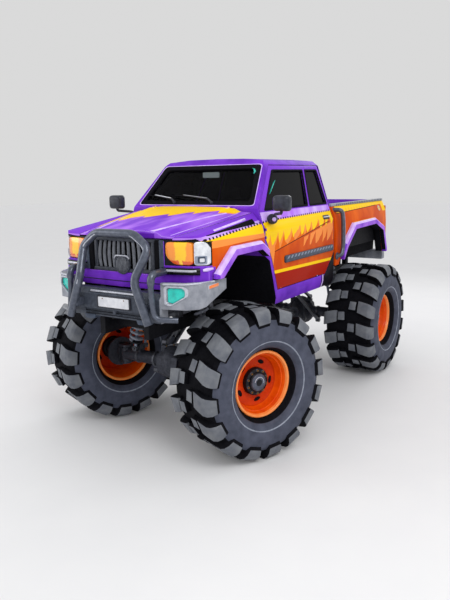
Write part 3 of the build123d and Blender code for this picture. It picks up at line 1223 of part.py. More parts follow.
def bed_rails():
    z = BED_RAIL_Z - BED_RAIL_HEIGHT + SEAT_GAP
    return both_sides(block(BED_INNER_X, BED_RAIL_X, BED_FRONT_Y, BED_REAR_Y, z, BED_RAIL_Z))


def bed_tub():
    outer = BED_INNER_X + BED_LINER
    top = BED_RAIL_Z - BED_RAIL_HEIGHT
    body = block(-outer, outer, BED_FRONT_Y, BED_REAR_Y, BED_FLOOR_Z - BED_FLOOR_THICKNESS, top)
    body -= block(-BED_INNER_X, BED_INNER_X, BED_FRONT_Y + BED_LINER, BED_REAR_Y + 10, BED_FLOOR_Z, top + 10)
    gate = BED_REAR_Y - TAILGATE_THICKNESS - PANEL_GAP
    body -= block(-BED_INNER_X, BED_INNER_X, gate, BED_REAR_Y + 10, 0, CUT_TOP_Z)
    beam = BED_INNER_X - OVERRUN
    for y in beam_places():
        body += block(-beam, beam, y - BED_CROSSBEAM / 2, y + BED_CROSSBEAM / 2, BED_BEAM_Z, BED_FLOOR_Z - BED_FLOOR_THICKNESS)
    for side in (-1, 1):
        x = side * TAILGATE_HINGE_X
        low, high = sorted((x + side * HALF_GAP, x + side * 31))
        body += bar((low, TAILGATE_HINGE_Y, TAILGATE_HINGE_Z), (high, TAILGATE_HINGE_Y, TAILGATE_HINGE_Z), HINGE_RADIUS)
        body += block(low, high, gate - 20, TAILGATE_HINGE_Y, BED_FLOOR_Z - 5, TAILGATE_HINGE_Z)
    return body


def tailgate():
    half = BED_INNER_X - PANEL_GAP
    body = block(-half, half, BED_REAR_Y - TAILGATE_THICKNESS, BED_REAR_Y, TAILGATE_BOTTOM_Z, BED_RAIL_Z - 20)
    for side in (-1, 1):
        x = side * TAILGATE_HINGE_X
        low, high = sorted((x - side * HALF_GAP, x - side * 31))
        body += bar((low, TAILGATE_HINGE_Y, TAILGATE_HINGE_Z), (high, TAILGATE_HINGE_Y, TAILGATE_HINGE_Z), HINGE_RADIUS)
        body += block(low, high, TAILGATE_HINGE_Y - 6, TAILGATE_HINGE_Y + 6, TAILGATE_HINGE_Z, TAILGATE_BOTTOM_Z + 5)
    return body


def bed_hoops():
    points = (
        (BED_SIDE_TOP_X - 4, HOOP_Y - 60, HOOP_TOP_Z - 120),
        (HOOP_X, HOOP_Y - 40, HOOP_TOP_Z - 120),
        (HOOP_X, HOOP_Y + 10, HOOP_TOP_Z - 300),
        (HOOP_X, HOOP_Y + 20, HOOP_FOOT_Z + 170),
        (HOOP_X, HOOP_Y - 30, HOOP_FOOT_Z + 40),
        (BODY_HALF_WIDTH + 4, HOOP_Y - 60, HOOP_FOOT_Z + 20),
    )
    body = mitred(points, HOOP_RADIUS, 6) - body_prism(BED_FRONT_Y - 50, BED_REAR_Y, -SEAT_GAP)
    return both_sides(body)


def tail_lamps():
    y = BED_REAR_Y + SEAT_GAP
    return both_sides(block(TAIL_LAMP_X, TAIL_LAMP_X + TAIL_LAMP_WIDTH, y, y + TAIL_LAMP_DEPTH, TAIL_LAMP_TOP_Z - TAIL_LAMP_HEIGHT, TAIL_LAMP_TOP_Z))


# Inside the cab

def seats():
    floor = FLOOR_TOP_Z + SEAT_GAP
    profile = (
        (SEAT_FRONT_Y + 60, floor),
        (SEAT_FRONT_Y, SEAT_CUSHION_Z - 60),
        (SEAT_FRONT_Y + 30, SEAT_CUSHION_Z),
        (SEAT_BACK_Y, SEAT_CUSHION_Z - 40),
        (SEAT_BACK_Y + SEAT_BACK_LEAN, SEAT_BACK_TOP_Z),
        (SEAT_BACK_Y + SEAT_BACK_LEAN + SEAT_BACK_THICKNESS, SEAT_BACK_TOP_Z),
        (SEAT_BACK_Y + SEAT_BACK_THICKNESS, SEAT_CUSHION_Z - 100),
        (SEAT_BACK_Y + 60, floor),
    )
    body = prism_x(profile, SEAT_X - SEAT_HALF_WIDTH, SEAT_X + SEAT_HALF_WIDTH)
    top_y = SEAT_BACK_Y + SEAT_BACK_LEAN
    body += block(SEAT_X - HEADREST_HALF_WIDTH, SEAT_X + HEADREST_HALF_WIDTH, top_y + 15, top_y + 105, SEAT_BACK_TOP_Z - 5, SEAT_BACK_TOP_Z + HEADREST_HEIGHT)
    return both_sides(body)


def wheel_plane():
    """The steering wheel's own plane; its normal runs up the column towards the driver."""
    lean = radians(WHEEL_LEAN)
    return Plane(origin=(SEAT_X, WHEEL_CENTRE_Y, WHEEL_CENTRE_Z), x_dir=(1, 0, 0), z_dir=(0, cos(lean), sin(lean)))


def dashboard():
    front = CAB_FRONT_Y + BULKHEAD + SEAT_GAP
    profile = ((front, DASH_BOTTOM_Z), (front, DASH_TOP_Z), (DASH_REAR_Y - 60, DASH_TOP_Z), (DASH_REAR_Y, DASH_TOP_Z - 60), (DASH_REAR_Y - 80, DASH_BOTTOM_Z))
    body = prism_x(profile, -DASH_HALF_WIDTH, DASH_HALF_WIDTH)
    plane = wheel_plane()
    column = extrude(plane.offset(-COLUMN_GAP) * RegularPolygon(COLUMN_RADIUS, 8), amount=-330)
    return body + column


def steering_wheel():
    plane = wheel_plane()
    ring = extrude(plane.offset(-STEERING_RIM_RADIUS) * (RegularPolygon(STEERING_WHEEL_RADIUS, 20) - RegularPolygon(STEERING_WHEEL_RADIUS - 2 * STEERING_RIM_RADIUS, 20)), amount=2 * STEERING_RIM_RADIUS)
    spokes = Rectangle(2 * STEERING_WHEEL_RADIUS - 3 * STEERING_RIM_RADIUS, 30) + Pos(0, -90) * Rectangle(30, 180 - STEERING_RIM_RADIUS)
    boss = extrude(plane.offset(-COLUMN_GAP + SEAT_GAP) * RegularPolygon(50, 10), amount=COLUMN_GAP)
    return ring + extrude(plane.offset(-10) * spokes, amount=16) + boss


PIECES = {
    "frame": rail_frame(),
    "engine": engine(),
    "front_axle": front_axle(),
    "rear_axle": rear_axle(),
    "suspension_links": links(True) + links(False),
    "shock_absorbers": four_corners(shock(True), shock(False)),
    "coil_springs": four_corners(spring()),
    "drive_shafts": drive_shafts(),
    "cab": cab(),
    "cab_glass": cab_glass(),
    "front_fenders": front_fenders(),
    "front_panel": front_panel(),
    "wheel_arch_flares": flares(),
    "grille": grille(),
    "headlamps": lamps(LAMP_INNER_X + SEAT_GAP, LAMP_SPLIT_X),
    "corner_lamps": lamps(LAMP_SPLIT_X + SEAT_GAP, CUT_X),
    "front_bumper": front_bumper(),
    "fog_lamps": fog_lamps(),
    "bull_bar": bull_bar(),
    "rear_bumper": rear_bumper(),
    "bed_sides": bed_sides(),
    "bed_rails": bed_rails(),
    "bed_tub": bed_tub(),
    "bed_hoops": bed_hoops(),
    "tail_lamps": tail_lamps(),
    "seats": seats(),
    "dashboard": dashboard(),
    "steering_wheel": steering_wheel(),
    "hood": hood(),
    "tailgate": tailgate(),
    "tie_rod": tie_rod(),
}
for name, side in (("left", 1), ("right", -1)):
    def handed(shape):
        return shape if side > 0 else mirror(shape, about=Plane.YZ)

    PIECES["door_" + name] = handed(door())
    PIECES["door_glass_" + name] = handed(door_glass())
    PIECES["door_fittings_" + name] = handed(door_trim() + door_mirror())
    PIECES["knuckle_" + name] = steered(side) * knuckle(side)
    wheel = (("tyre", tyre_shape), ("rim", rim_shape), ("hub", hub_shape))
    for kind, shape in wheel:
        PIECES[kind + "_front_" + name] = steered(side) * Pos(KINGPIN_OFFSET, 0, 0) * shape
        PIECES[kind + "_rear_" + name] = rear_wheel_place(side) * shape

os.makedirs("parts", exist_ok=True)
for name, shape in PIECES.items():
    export_step(Pos(0, AXLE_SHIFT, 0) * shape, "parts/" + name + ".step")
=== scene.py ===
"""Monster truck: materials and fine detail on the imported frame.

Lengths along the truck are written from the front axle, as in the part's source, and SHIFT moves
them to the row frame. Forward is -Y, the truck's left is +X, and everything is in metres.
"""

import json
from math import cos, pi, radians, sin

import bmesh
import bpy
from mathutils import Matrix, Vector
from mathutils.bvhtree import BVHTree

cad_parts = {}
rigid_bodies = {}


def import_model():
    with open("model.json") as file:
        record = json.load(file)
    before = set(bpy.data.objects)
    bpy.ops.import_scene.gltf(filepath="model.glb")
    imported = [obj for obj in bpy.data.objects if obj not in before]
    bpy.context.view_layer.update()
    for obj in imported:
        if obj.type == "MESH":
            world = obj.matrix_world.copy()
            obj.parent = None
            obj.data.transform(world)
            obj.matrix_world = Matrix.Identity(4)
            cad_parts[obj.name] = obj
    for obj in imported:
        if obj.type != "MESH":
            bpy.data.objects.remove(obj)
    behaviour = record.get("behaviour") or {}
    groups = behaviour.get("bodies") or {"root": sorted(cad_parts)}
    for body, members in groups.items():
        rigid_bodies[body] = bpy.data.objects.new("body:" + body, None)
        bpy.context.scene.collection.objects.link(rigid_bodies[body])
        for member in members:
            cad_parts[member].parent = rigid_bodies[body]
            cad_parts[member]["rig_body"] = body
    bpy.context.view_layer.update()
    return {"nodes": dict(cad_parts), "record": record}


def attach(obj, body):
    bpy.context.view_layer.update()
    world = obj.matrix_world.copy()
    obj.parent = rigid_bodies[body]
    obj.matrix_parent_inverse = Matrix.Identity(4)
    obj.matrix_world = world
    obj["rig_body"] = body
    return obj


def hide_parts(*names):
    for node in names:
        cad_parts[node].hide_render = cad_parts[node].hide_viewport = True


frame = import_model()

# Layout

SHIFT = -1.8025
WHEELBASE, AXLE_Z = 3.5, 0.838
KINGPIN_X, KINGPIN_TO_WHEEL, REAR_WHEEL_X = 0.795, 0.320, 1.115
DRAWN_STEER = radians(-22)
SIDES = (("left", 1), ("right", -1))
LUGS, RIM_HOLES, HUB_NUTS, COVER_BOLTS = 16, 5, 10, 12
SHOULDER_RADIUS, BEAD_RADIUS = 0.80, 0.372
# each shock absorber's place along the truck, and whether it carries a spring
SHOCKS = ((-0.092, True), (0.092, False), (WHEELBASE + 0.092, True), (WHEELBASE - 0.092, False))
SHOCK_FOOT, SHOCK_TOP, SPRING_SPAN = (0.560, 0.958), (0.430, 1.700), (0.14, 0.88)
SPRING_TURNS, SPRING_STEPS, SPRING_RADIUS = 8.5, 16, 0.074
# across and along, at the front face of the body and of the bumper's ends
NOSE = ((0.0, -0.880), (0.548, -0.858), (0.870, -0.796), (0.985, -0.691), (1.015, -0.563))
BUMPER_END = ((0.608, -1.015), (0.873, -0.947), (1.009, -0.789), (1.035, -0.450))
# height and half width of the doors
SIDE = (
    (1.520, 0.980), (1.606, 1.010), (1.862, 1.015), (2.272, 1.015),
    (2.443, 1.003), (2.552, 0.959), (2.660, 0.926), (3.185, 0.752),
)
STRIP_X, STRIP_Z = 1.0155, 2.045
MIRROR_HEAD, MIRROR_FOOT = (1.225, 0.430, 2.742), (1.010, 0.610, 2.552)
SCREEN_FOOT, SCREEN_TOP = Vector((0, 0.434, 2.693)), Vector((0, 0.905, 3.205))
SEAT_X = 0.400
PAINTED_EDGE = 0.004


def at(x, y, z):
    """A point given from the front axle, in the row frame."""
    return Vector((x, y + SHIFT, z))


def lerp(first, second, share):
    return first + (second - first) * share


def link(made):
    bpy.context.scene.collection.objects.link(made)
    return made


def tint(*channels):
    """A screen colour of 0 to 255 as the linear colour that shaders take."""
    return tuple(((v / 255 + 0.055) / 1.055) ** 2.4 if v > 10 else v / 255 / 12.92 for v in channels) + (1.0,)


# Materials

class Graph:
    """Builds one material's nodes."""

    def __init__(self, name, values=None):
        self.material = bpy.data.materials.new(name)
        self.material.use_nodes = True
        self.tree = self.material.node_tree
        self.shader = self.tree.nodes["Principled BSDF"]
        for key, value in {"Coat Roughness": 0.08, **(values or {})}.items():
            self.shader.inputs[key].default_value = value
        self.place = self.node("ShaderNodeTexCoord").outputs["Object"]

    def node(self, kind, inputs=None, **settings):
        made = self.tree.nodes.new(kind)
        for key, value in settings.items():
            setattr(made, key, value)
        for key, value in (inputs or {}).items():
            if isinstance(value, bpy.types.NodeSocket):
                self.tree.links.new(value, made.inputs[key])
            else:
                made.inputs[key].default_value = value
        return made

    def math(self, operation, *values):
        return self.node("ShaderNodeMath", dict(enumerate(values)), operation=operation).outputs[0]

    def plus(self, first, second):
        return self.math("ADD", first, second)

    def minus(self, first, second):
        return self.math("SUBTRACT", first, second)

    def times(self, first, *others):
        for other in others:
            first = self.math("MULTIPLY", first, other)
        return first

    def line(self, value, slope, start):
        return self.math("MULTIPLY_ADD", value, slope, start)

    def axes(self):
        """The place across, along from the front axle, and up."""
        split = self.node("ShaderNodeSeparateXYZ", {0: self.place}).outputs
        return split[0], self.minus(split[1], SHIFT), split[2]

    def noise(self, scale, detail=3.0, stretch=(1, 1, 1)):
        spread = self.node("ShaderNodeVectorMath", {0: self.place, 1: stretch}, operation="MULTIPLY").outputs[0]
        inputs = {"Vector": spread, "Scale": scale, "Detail": detail, "Roughness": 0.55}
        return self.node("ShaderNodeTexNoise", inputs).outputs["Fac"]

    def band(self, value, low, high):
        """0 below low, 1 above high, and a straight slope between them."""
        return self.node("ShaderNodeMapRange", {"Value": value, "From Min": low, "From Max": high}).outputs[0]

    def within(self, value, low, high):
        return self.times(self.band(value, low, low + PAINTED_EDGE), self.band(value, high, high - PAINTED_EDGE))

    def mix(self, factor, first, second):
        return self.node("ShaderNodeMix", {0: factor, 6: first, 7: second}, data_type="RGBA").outputs[2]

    def layers(self, colour, *pairs):
        """Lays each tone over the colour where its mask is 1."""
        for mask, tone in pairs:
            colour = self.mix(mask, colour, tone)
        return colour

    def finish(self, colour, rough=None, bump=None):
        """Links the colour, a (grain, low, high) roughness and a (grain, distance, strength) bump."""
        links, inputs = self.tree.links, self.shader.inputs
        links.new(colour, inputs["Base Color"])
        if rough:
            ranged = self.node("ShaderNodeMapRange", dict(zip(("Value", "To Min", "To Max"), rough)))
            links.new(ranged.outputs[0], inputs["Roughness"])
        if bump:
            raised = self.node("ShaderNodeBump", dict(zip(("Height", "Distance", "Strength"), bump)))
            links.new(raised.outputs[0], inputs["Normal"])
        return self.material


def speckled(base, dark, scale, rough, metallic=0.0, coat=0.0, bump=0.0005, shine=0.25):
    """A finish whose colour, gloss and surface vary with fine noise, from base to dark."""
    graph = Graph("speckled", {"Metallic": metallic, "Coat Weight": coat, "Specular IOR Level": shine})
    grain = graph.noise(scale, 4.0)
    colour = graph.mix(graph.band(grain, 0.3, 0.75), tint(*base), tint(*dark))
    return graph.finish(colour, (grain, *rough), (graph.noise(scale * 6, 2.0), bump, 1.0))


PURPLE, DEEP_PURPLE, LILAC = tint(122, 56, 206), tint(92, 32, 172), tint(176, 116, 236)
PALE_LILAC, YELLOW, PEACH = tint(216, 190, 248), tint(255, 208, 10), tint(248, 146, 66)
ORANGE, RUST, BRICK, INK = tint(232, 106, 14), tint(206, 74, 6), tint(166, 28, 2), tint(16, 12, 20)
PAINT = {"Coat Weight": 0.05, "Specular IOR Level": 0.06}


def paint(graph, colour):
    """Gloss paint with a fine flake and a slight wander of surface."""
    return graph.finish(colour, (graph.noise(900.0, 1.0), 0.42, 0.54), (graph.noise(5.0, 2.0), 0.0008, 0.3))


def cloudy(graph, light=PURPLE, dark=DEEP_PURPLE):
    return graph.mix(graph.band(graph.noise(3.5, 3.0), 0.35, 0.7), light, dark)


def purple_paint(*tones):
    graph = Graph("purple_paint", PAINT)
    return paint(graph, cloudy(graph, *tones))


def flame_paint():
    """Yellow, peach, orange and brick flames between a lilac band above the belt and a purple sill; the lilac band
    is a painted highlight on the shoulder.
    """
    graph = Graph("flame_paint", PAINT)
    _, along, up = graph.axes()
    band, times, plus = graph.band, graph.times, graph.plus
    wave = graph.noise(2.2, 3.0, (0, 1, 0.35))

    def line(slope, start):
        """A height that changes along the truck."""
        return graph.line(along, slope, start)

    def over(height):
        return band(graph.minus(up, height), 0.0, PAINTED_EDGE)

    def under(height, gap=0.0, soft=PAINTED_EDGE):
        return band(graph.minus(up, height), -gap, -gap - soft)

    def near(height, half):
        return band(graph.math("ABSOLUTE", graph.minus(up, height)), half + 0.003, half)

    def within(low, high):
        return graph.within(along, low, high)

    def teeth(count, lean, height, seed):
        """A sawtooth along the truck that leans back as it rises, of that height in metres."""
        place = plus(graph.line(up, lean, line(count, seed)), times(wave, 2.4))
        return times(graph.math("POWER", graph.math("FRACT", place), 1.5), height)

    fender, door, bed = within(-2.0, 0.424), within(0.42, 2.424), within(2.6, 9.0)
    belt = graph.math("MINIMUM", line(0.082, 2.478), line(0.0133, 2.521))
    belt = graph.line(band(along, 2.42, 2.425), 0.3, belt)
    crease = graph.math("MINIMUM", line(0.157, 2.062), line(4.0, -0.496))
    bed_line, low_line = line(0.027, 2.43), line(-0.02, 1.934)
    sill = graph.line(graph.noise(16.0, 2.0, (0, 1, 0.1)), 0.06, line(-0.02, 1.682))
    licks = times(over(plus(teeth(5.4, -1.0, 0.17, 0.3), 2.15)), within(1.42, 2.39), under(crease, 0.02, 0.006))
    streaks = times(over(bed_line), band(graph.math("FRACT", line(9.0, 0.0)), 0.5, 0.9), band(up, 2.58, 2.53))
    # painted highlight: pale lilac on the shoulder from the belt line up to the purple
    upper = graph.mix(band(graph.noise(3.2, 2.0, (0, 1, 0.5)), 0.35, 0.6), PALE_LILAC, LILAC)
    purple = graph.math("MAXIMUM", times(door, over(2.632)), times(fender, over(plus(belt, 0.035))))
    dashes = band(graph.math("FRACT", graph.line(up, -9.0, line(16.0, 0.0))), 0.50, 0.56)
    dash_line = plus(plus(belt, times(bed, -0.248)), 0.006)
    notch = band(up, 1.716, 1.712)
    colour = graph.layers(
        graph.mix(band(graph.noise(3.0, 2.0, (0, 1, 0.6)), 0.45, 0.75), RUST, ORANGE),
        (times(door, licks), PEACH),
        (times(door, over(crease)), ORANGE),
        (times(door, over(plus(crease, teeth(4.4, 1.6, 0.17, 0.7)))), PEACH),
        (times(fender, over(line(0.02, 2.348))), PEACH),
        (times(door, over(plus(line(0.072, 2.205), teeth(5.2, 1.6, 0.13, 0.0)))), YELLOW),
        (times(door, near(crease, 0.0035), within(0.60, 2.26)), INK),
        (times(fender, over(line(-0.006, 2.405))), YELLOW),
        (times(bed, over(bed_line)), YELLOW),
        (times(bed, streaks), PEACH),
        (times(bed, near(bed_line, 0.003), within(2.6, 4.27)), INK),
        (times(within(4.50, 9.0), over(2.44)), YELLOW),
        (times(within(-2.0, -0.60), band(up, 2.15, 2.146)), PURPLE),
        (times(door, under(low_line)), BRICK),
        (times(door, near(low_line, 0.018)), YELLOW),
        (times(door, near(sill, 0.006)), PEACH),
        (times(door, under(sill, 0.003, 0.003)), PURPLE),
        (times(notch, within(1.83, 1.93)), INK),
        (times(notch, within(1.86, 1.90)), PALE_LILAC),
        (over(belt), upper),
        (purple, PURPLE),
        (times(near(dash_line, 0.010), dashes), INK),
    )
    return paint(graph, colour)


def cab_paint():
    """Purple, with rust behind the doors, black behind their cut-off heels and a notch in the sill."""
    graph = Graph("cab_paint", PAINT)
    across, along, up = graph.axes()
    band, times = graph.band, graph.times
    outside = band(graph.math("ABSOLUTE", across), 0.92, 0.925)
    heel = graph.minus(graph.line(along, 0.944, -0.312), up)
    sill = times(outside, band(up, 1.70, 1.696))
    colour = graph.layers(
        cloudy(graph),
        (times(outside, band(along, 2.398, 2.402), band(up, 2.61, 2.606)), RUST),
        (times(outside, band(heel, 0.0, PAINTED_EDGE), band(along, 2.10, 2.104)), INK),
        (times(sill, graph.within(along, 2.02, 2.11)), INK),
        (times(sill, graph.within(along, 2.05, 2.085)), PALE_LILAC),
    )
    return paint(graph, colour)


def hood_paint():
    """Purple with a splash of yellow towards the windscreen, and a front lip darkened as painted shade."""
    graph = Graph("hood_paint", PAINT)
    across, along, up = graph.axes()
    band, times = graph.band, graph.times
    tooth = graph.math("FRACT", graph.line(along, 1.3, times(across, 3.2)))
    edge = graph.line(across, 0.50, graph.line(tooth, 0.15, -0.24))
    edge = graph.minus(along, graph.plus(edge, times(graph.noise(4.0, 2.0, (1, 1, 0)), 0.16)))
    side = band(graph.math("ABSOLUTE", graph.plus(across, 0.04)), 0.76, 0.75)
    # painted shade: the lip's forward face is deep purple
    lip = times(band(up, 2.492, 2.486), band(graph.math("ABSOLUTE", across), 0.44, 0.43))
    colour = graph.layers(
        graph.mix(band(graph.noise(2.6, 2.0, (1.6, 0.5, 0)), 0.42, 0.66), PURPLE, LILAC),
        (times(band(edge, -0.03, -0.024), side), PEACH),
        (times(band(edge, 0.0, 0.006), side), YELLOW),
        (times(lip, band(along, -0.66, -0.68)), DEEP_PURPLE),
    )
    return paint(graph, colour)


def headlamp_lens():
    """Yellow in the middle, orange at its sides and dark orange at its foot."""
    graph = Graph("headlamp_lens", {"Coat Weight": 1.0})
    across, _, up = graph.axes()
    wave = graph.times(graph.noise(14.0, 2.0), 0.06)
    from_middle = graph.math("ABSOLUTE", graph.minus(graph.math("ABSOLUTE", across), 0.735))
    place = graph.plus(from_middle, wave)
    beside_stem = graph.minus(1.0, graph.band(place, 0.050, 0.044))
    colour = graph.layers(
        tint(250, 148, 46),
        (graph.band(place, 0.098, 0.082), tint(255, 200, 20)),
        (graph.times(graph.band(graph.plus(up, wave), 2.256, 2.248), beside_stem), tint(226, 92, 10)),
    )
    return graph.finish(colour, (graph.noise(60.0, 2.0), 0.12, 0.24))


def dark_glass(alpha=1.0):
    graph = Graph("glass", {"Roughness": 0.1, "Specular IOR Level": 0.05, "Alpha": alpha})
    return graph.finish(graph.mix(graph.band(graph.noise(2.0, 2.0), 0.3, 0.7), tint(13, 13, 16), tint(8, 8, 10)))


# finish: base colour, dark colour, noise scale, roughness, and what else it has
MATERIALS = {
    "body_purple": purple_paint(),
    "purple_deep": purple_paint(DEEP_PURPLE, tint(76, 24, 146)),
    # a lighter copy of the paint: the painted highlight on rounded edges and on the flares' outboard faces
    "lilac": purple_paint(LILAC, PURPLE),
    "flame_orange": flame_paint(),
    "amber_lens": headlamp_lens(),
    "dark_glass": dark_glass(),
    "screen_glass": dark_glass(0.5),
    "dark_metal": speckled((28, 28, 33), (18, 18, 22), 24, (0.5, 0.65), shine=0.1),
    "grey_metal": speckled((108, 110, 118), (66, 68, 76), 36, (0.32, 0.5), metallic=0.7),
    "axle_grey": speckled((70, 72, 82), (44, 46, 54), 30, (0.38, 0.55), metallic=0.35),
    "grille_grey": speckled((70, 74, 84), (46, 49, 58), 40, (0.36, 0.5)),
    "clear_lens": speckled((238, 240, 245), (188, 192, 202), 16, (0.1, 0.2), coat=1.0),
    "red_lens": speckled((196, 24, 18), (140, 10, 8), 16, (0.1, 0.2), coat=1.0),
    "bumper_grey": speckled((156, 159, 168), (116, 120, 130), 12, (0.4, 0.52)),
    "tube_grey": speckled((96, 102, 116), (66, 71, 84), 22, (0.24, 0.36), metallic=0.45, coat=0.4),
    "rail_grey": speckled((170, 172, 178), (128, 130, 138), 40, (0.5, 0.65)),
    "seat_fabric": speckled((52, 50, 60), (34, 32, 40), 220, (0.8, 0.95), bump=0.001),
    "black_plastic": speckled((62, 64, 74), (38, 39, 46), 60, (0.36, 0.5)),
    "tyre": speckled((78, 82, 98), (58, 62, 76), 10, (0.62, 0.8)),
    "rim_orange": speckled((240, 92, 6), (216, 62, 2), 9, (0.34, 0.46), coat=0.1, shine=0.12),
    "hub_black": speckled((36, 37, 42), (20, 20, 24), 30, (0.3, 0.5), metallic=0.4),
    "aqua_lens": speckled((26, 222, 204), (8, 176, 166), 14, (0.08, 0.16), coat=1.0),
    "rubber_dark": speckled((20, 20, 25), (12, 12, 16), 30, (0.7, 0.85), shine=0.06),
    "lug": speckled((118, 121, 126), (86, 90, 100), 8, (0.5, 0.7), bump=0.0008),
    # painted highlight: the pale ring on the tyres' sidewalls
    "pale_rubber": speckled((150, 156, 170), (110, 116, 130), 20, (0.5, 0.7)),
    "rim_lip": speckled((255, 156, 84), (250, 128, 50), 9, (0.26, 0.38), coat=0.3),
    "rim_disc": speckled((212, 62, 2), (178, 38, 0), 9, (0.36, 0.5), coat=0.04, shine=0.1),
    "hub_grey": speckled((92, 97, 112), (66, 70, 82), 30, (0.34, 0.48), metallic=0.2),
    "chrome": speckled((222, 225, 232), (186, 190, 200), 40, (0.12, 0.24), metallic=0.85),
    "nut": speckled((140, 104, 52), (90, 62, 32), 60, (0.36, 0.5), metallic=0.5),
    "spring_steel": speckled((150, 154, 166), (112, 116, 130), 40, (0.3, 0.44)),
    "lilac_pale": speckled((224, 202, 252), (190, 150, 240), 10, (0.36, 0.48)),
    "slate": speckled((72, 82, 100), (50, 58, 74), 30, (0.34, 0.46)),
    "slate_pale": speckled((150, 158, 176), (110, 118, 138), 30, (0.34, 0.46)),
    "bar_grey": speckled((122, 125, 133), (92, 95, 104), 20, (0.34, 0.48)),
    "black_gloss": speckled((14, 15, 18), (8, 8, 11), 30, (0.12, 0.2), coat=0.3, shine=0.1),
    "white_plastic": speckled((222, 223, 228), (200, 202, 210), 20, (0.3, 0.42)),
    "plate_frame": speckled((52, 54, 64), (34, 36, 44), 40, (0.34, 0.46)),
    # pale trim for handles, bezels and the fuel cap's ring; also the painted highlight lines on the bull bar,
    # bumper, under-lamp bars, badge and hub caps
    "pale_trim": speckled((206, 208, 218), (160, 164, 176), 24, (0.22, 0.34), metallic=0.3),
    "marker_orange": speckled((250, 140, 62), (236, 110, 36), 14, (0.12, 0.22), coat=1.0),
    "bumper_dark": speckled((72, 78, 90), (48, 53, 64), 26, (0.38, 0.52)),
    "strip_grey": speckled((74, 82, 98), (48, 54, 68), 26, (0.3, 0.44)),
    "mirror_shell": speckled((62, 65, 74), (34, 35, 42), 16, (0.22, 0.36)),
    # painted reflection: turquoise strips on the glass
    "glint": speckled((30, 196, 176), (16, 150, 140), 14, (0.1, 0.2), coat=1.0),
    "stripe_black": speckled((22, 18, 26), (14, 12, 18), 30, (0.5, 0.62)),
    # yellow for the fuel cap, and the painted highlight on the rear flares' flat tops
    "flame_yellow": speckled((255, 216, 60), (248, 186, 24), 10, (0.36, 0.48)),
    "mirror_glass": speckled((214, 224, 228), (196, 208, 214), 20, (0.2, 0.3)),
}
for name, material in MATERIALS.items():
    material.name = name + "_finish"
# painted reflection: the inside mirror's glass glows instead of reflecting
mirror = MATERIALS["mirror_glass"].node_tree.nodes["Principled BSDF"].inputs
mirror["Emission Color"].default_value, mirror["Emission Strength"].default_value = tint(205, 222, 226), 0.7

BODY_OF = {name: node["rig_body"] for name, node in frame["nodes"].items()}
SLOT_OF = {entry["node"]: entry["material_slot"] for entry in frame["record"]["subparts"]}
for name, slot in SLOT_OF.items():
    for holder in frame["nodes"][name].material_slots:
        holder.material = MATERIALS[slot]
for name, material in (("hood", hood_paint()), ("cab", cab_paint()), ("front_fenders", MATERIALS["flame_orange"])):
    frame["nodes"][name].material_slots[0].material = material


# Shapes

def turned(points, steps, radius):
    """A path with each inner corner rounded to about that radius, as far as its runs allow."""
    points = [Vector(p) for p in points]
    path = [points[0]]
    for before, corner, after in zip(points, points[1:], points[2:]):
        back, ahead = before - corner, after - corner
        reach = min(radius, 0.45 * back.length, 0.45 * ahead.length)
        start, end = corner + back.normalized() * reach, corner + ahead.normalized() * reach
        for step in range(steps + 1):
            share = step / steps
            path.append(start.lerp(corner, share).lerp(corner.lerp(end, share), share))
    return path + [points[-1]]


def smooth_outline(corners, radius, steps=4):
    """A closed outline of (u, v) corners with its corners rounded."""
    outline = []
    for index in range(len(corners)):
        three = (Vector((*corners[(index + k) % len(corners)], 0)) for k in (-1, 0, 1))
        outline += [(p.x, p.y) for p in turned(three, steps, radius)[1:-1]]
    return outline


def rectangle(low_u, low_v, high_u, high_v):
    return (low_u, low_v), (high_u, low_v), (high_u, high_v), (low_u, high_v)


def rounded(low_u, low_v, high_u, high_v, radius, steps=3):
    return smooth_outline(rectangle(low_u, low_v, high_u, high_v), radius, steps)


def arc(wide, high, steps, end=360):
    """Points (wide cos a, high sin a) from 0 to end degrees."""
    turns = [radians(end * k / steps) for k in range(steps + 1)]
    return [(wide * cos(turn), high * sin(turn)) for turn in turns]


def mirrored(half):
    """A line of points, and its mirror image in the first coordinate from its end back."""
    return half + [(-p[0], *p[1:]) for p in half[::-1]]


def collar(low, high, slope, inner, outer):
    """The profile of a ring that stands on a round bar."""
    return [(low, inner), (low + slope, outer), (high - slope, outer), (high, inner)]


def frame_of(start, end):
    """The place where X runs from start to end."""
    heading = (Vector(end) - Vector(start)).normalized()
    return Matrix.Translation(Vector(start)) @ heading.to_track_quat("X", "Z").to_matrix().to_4x4()


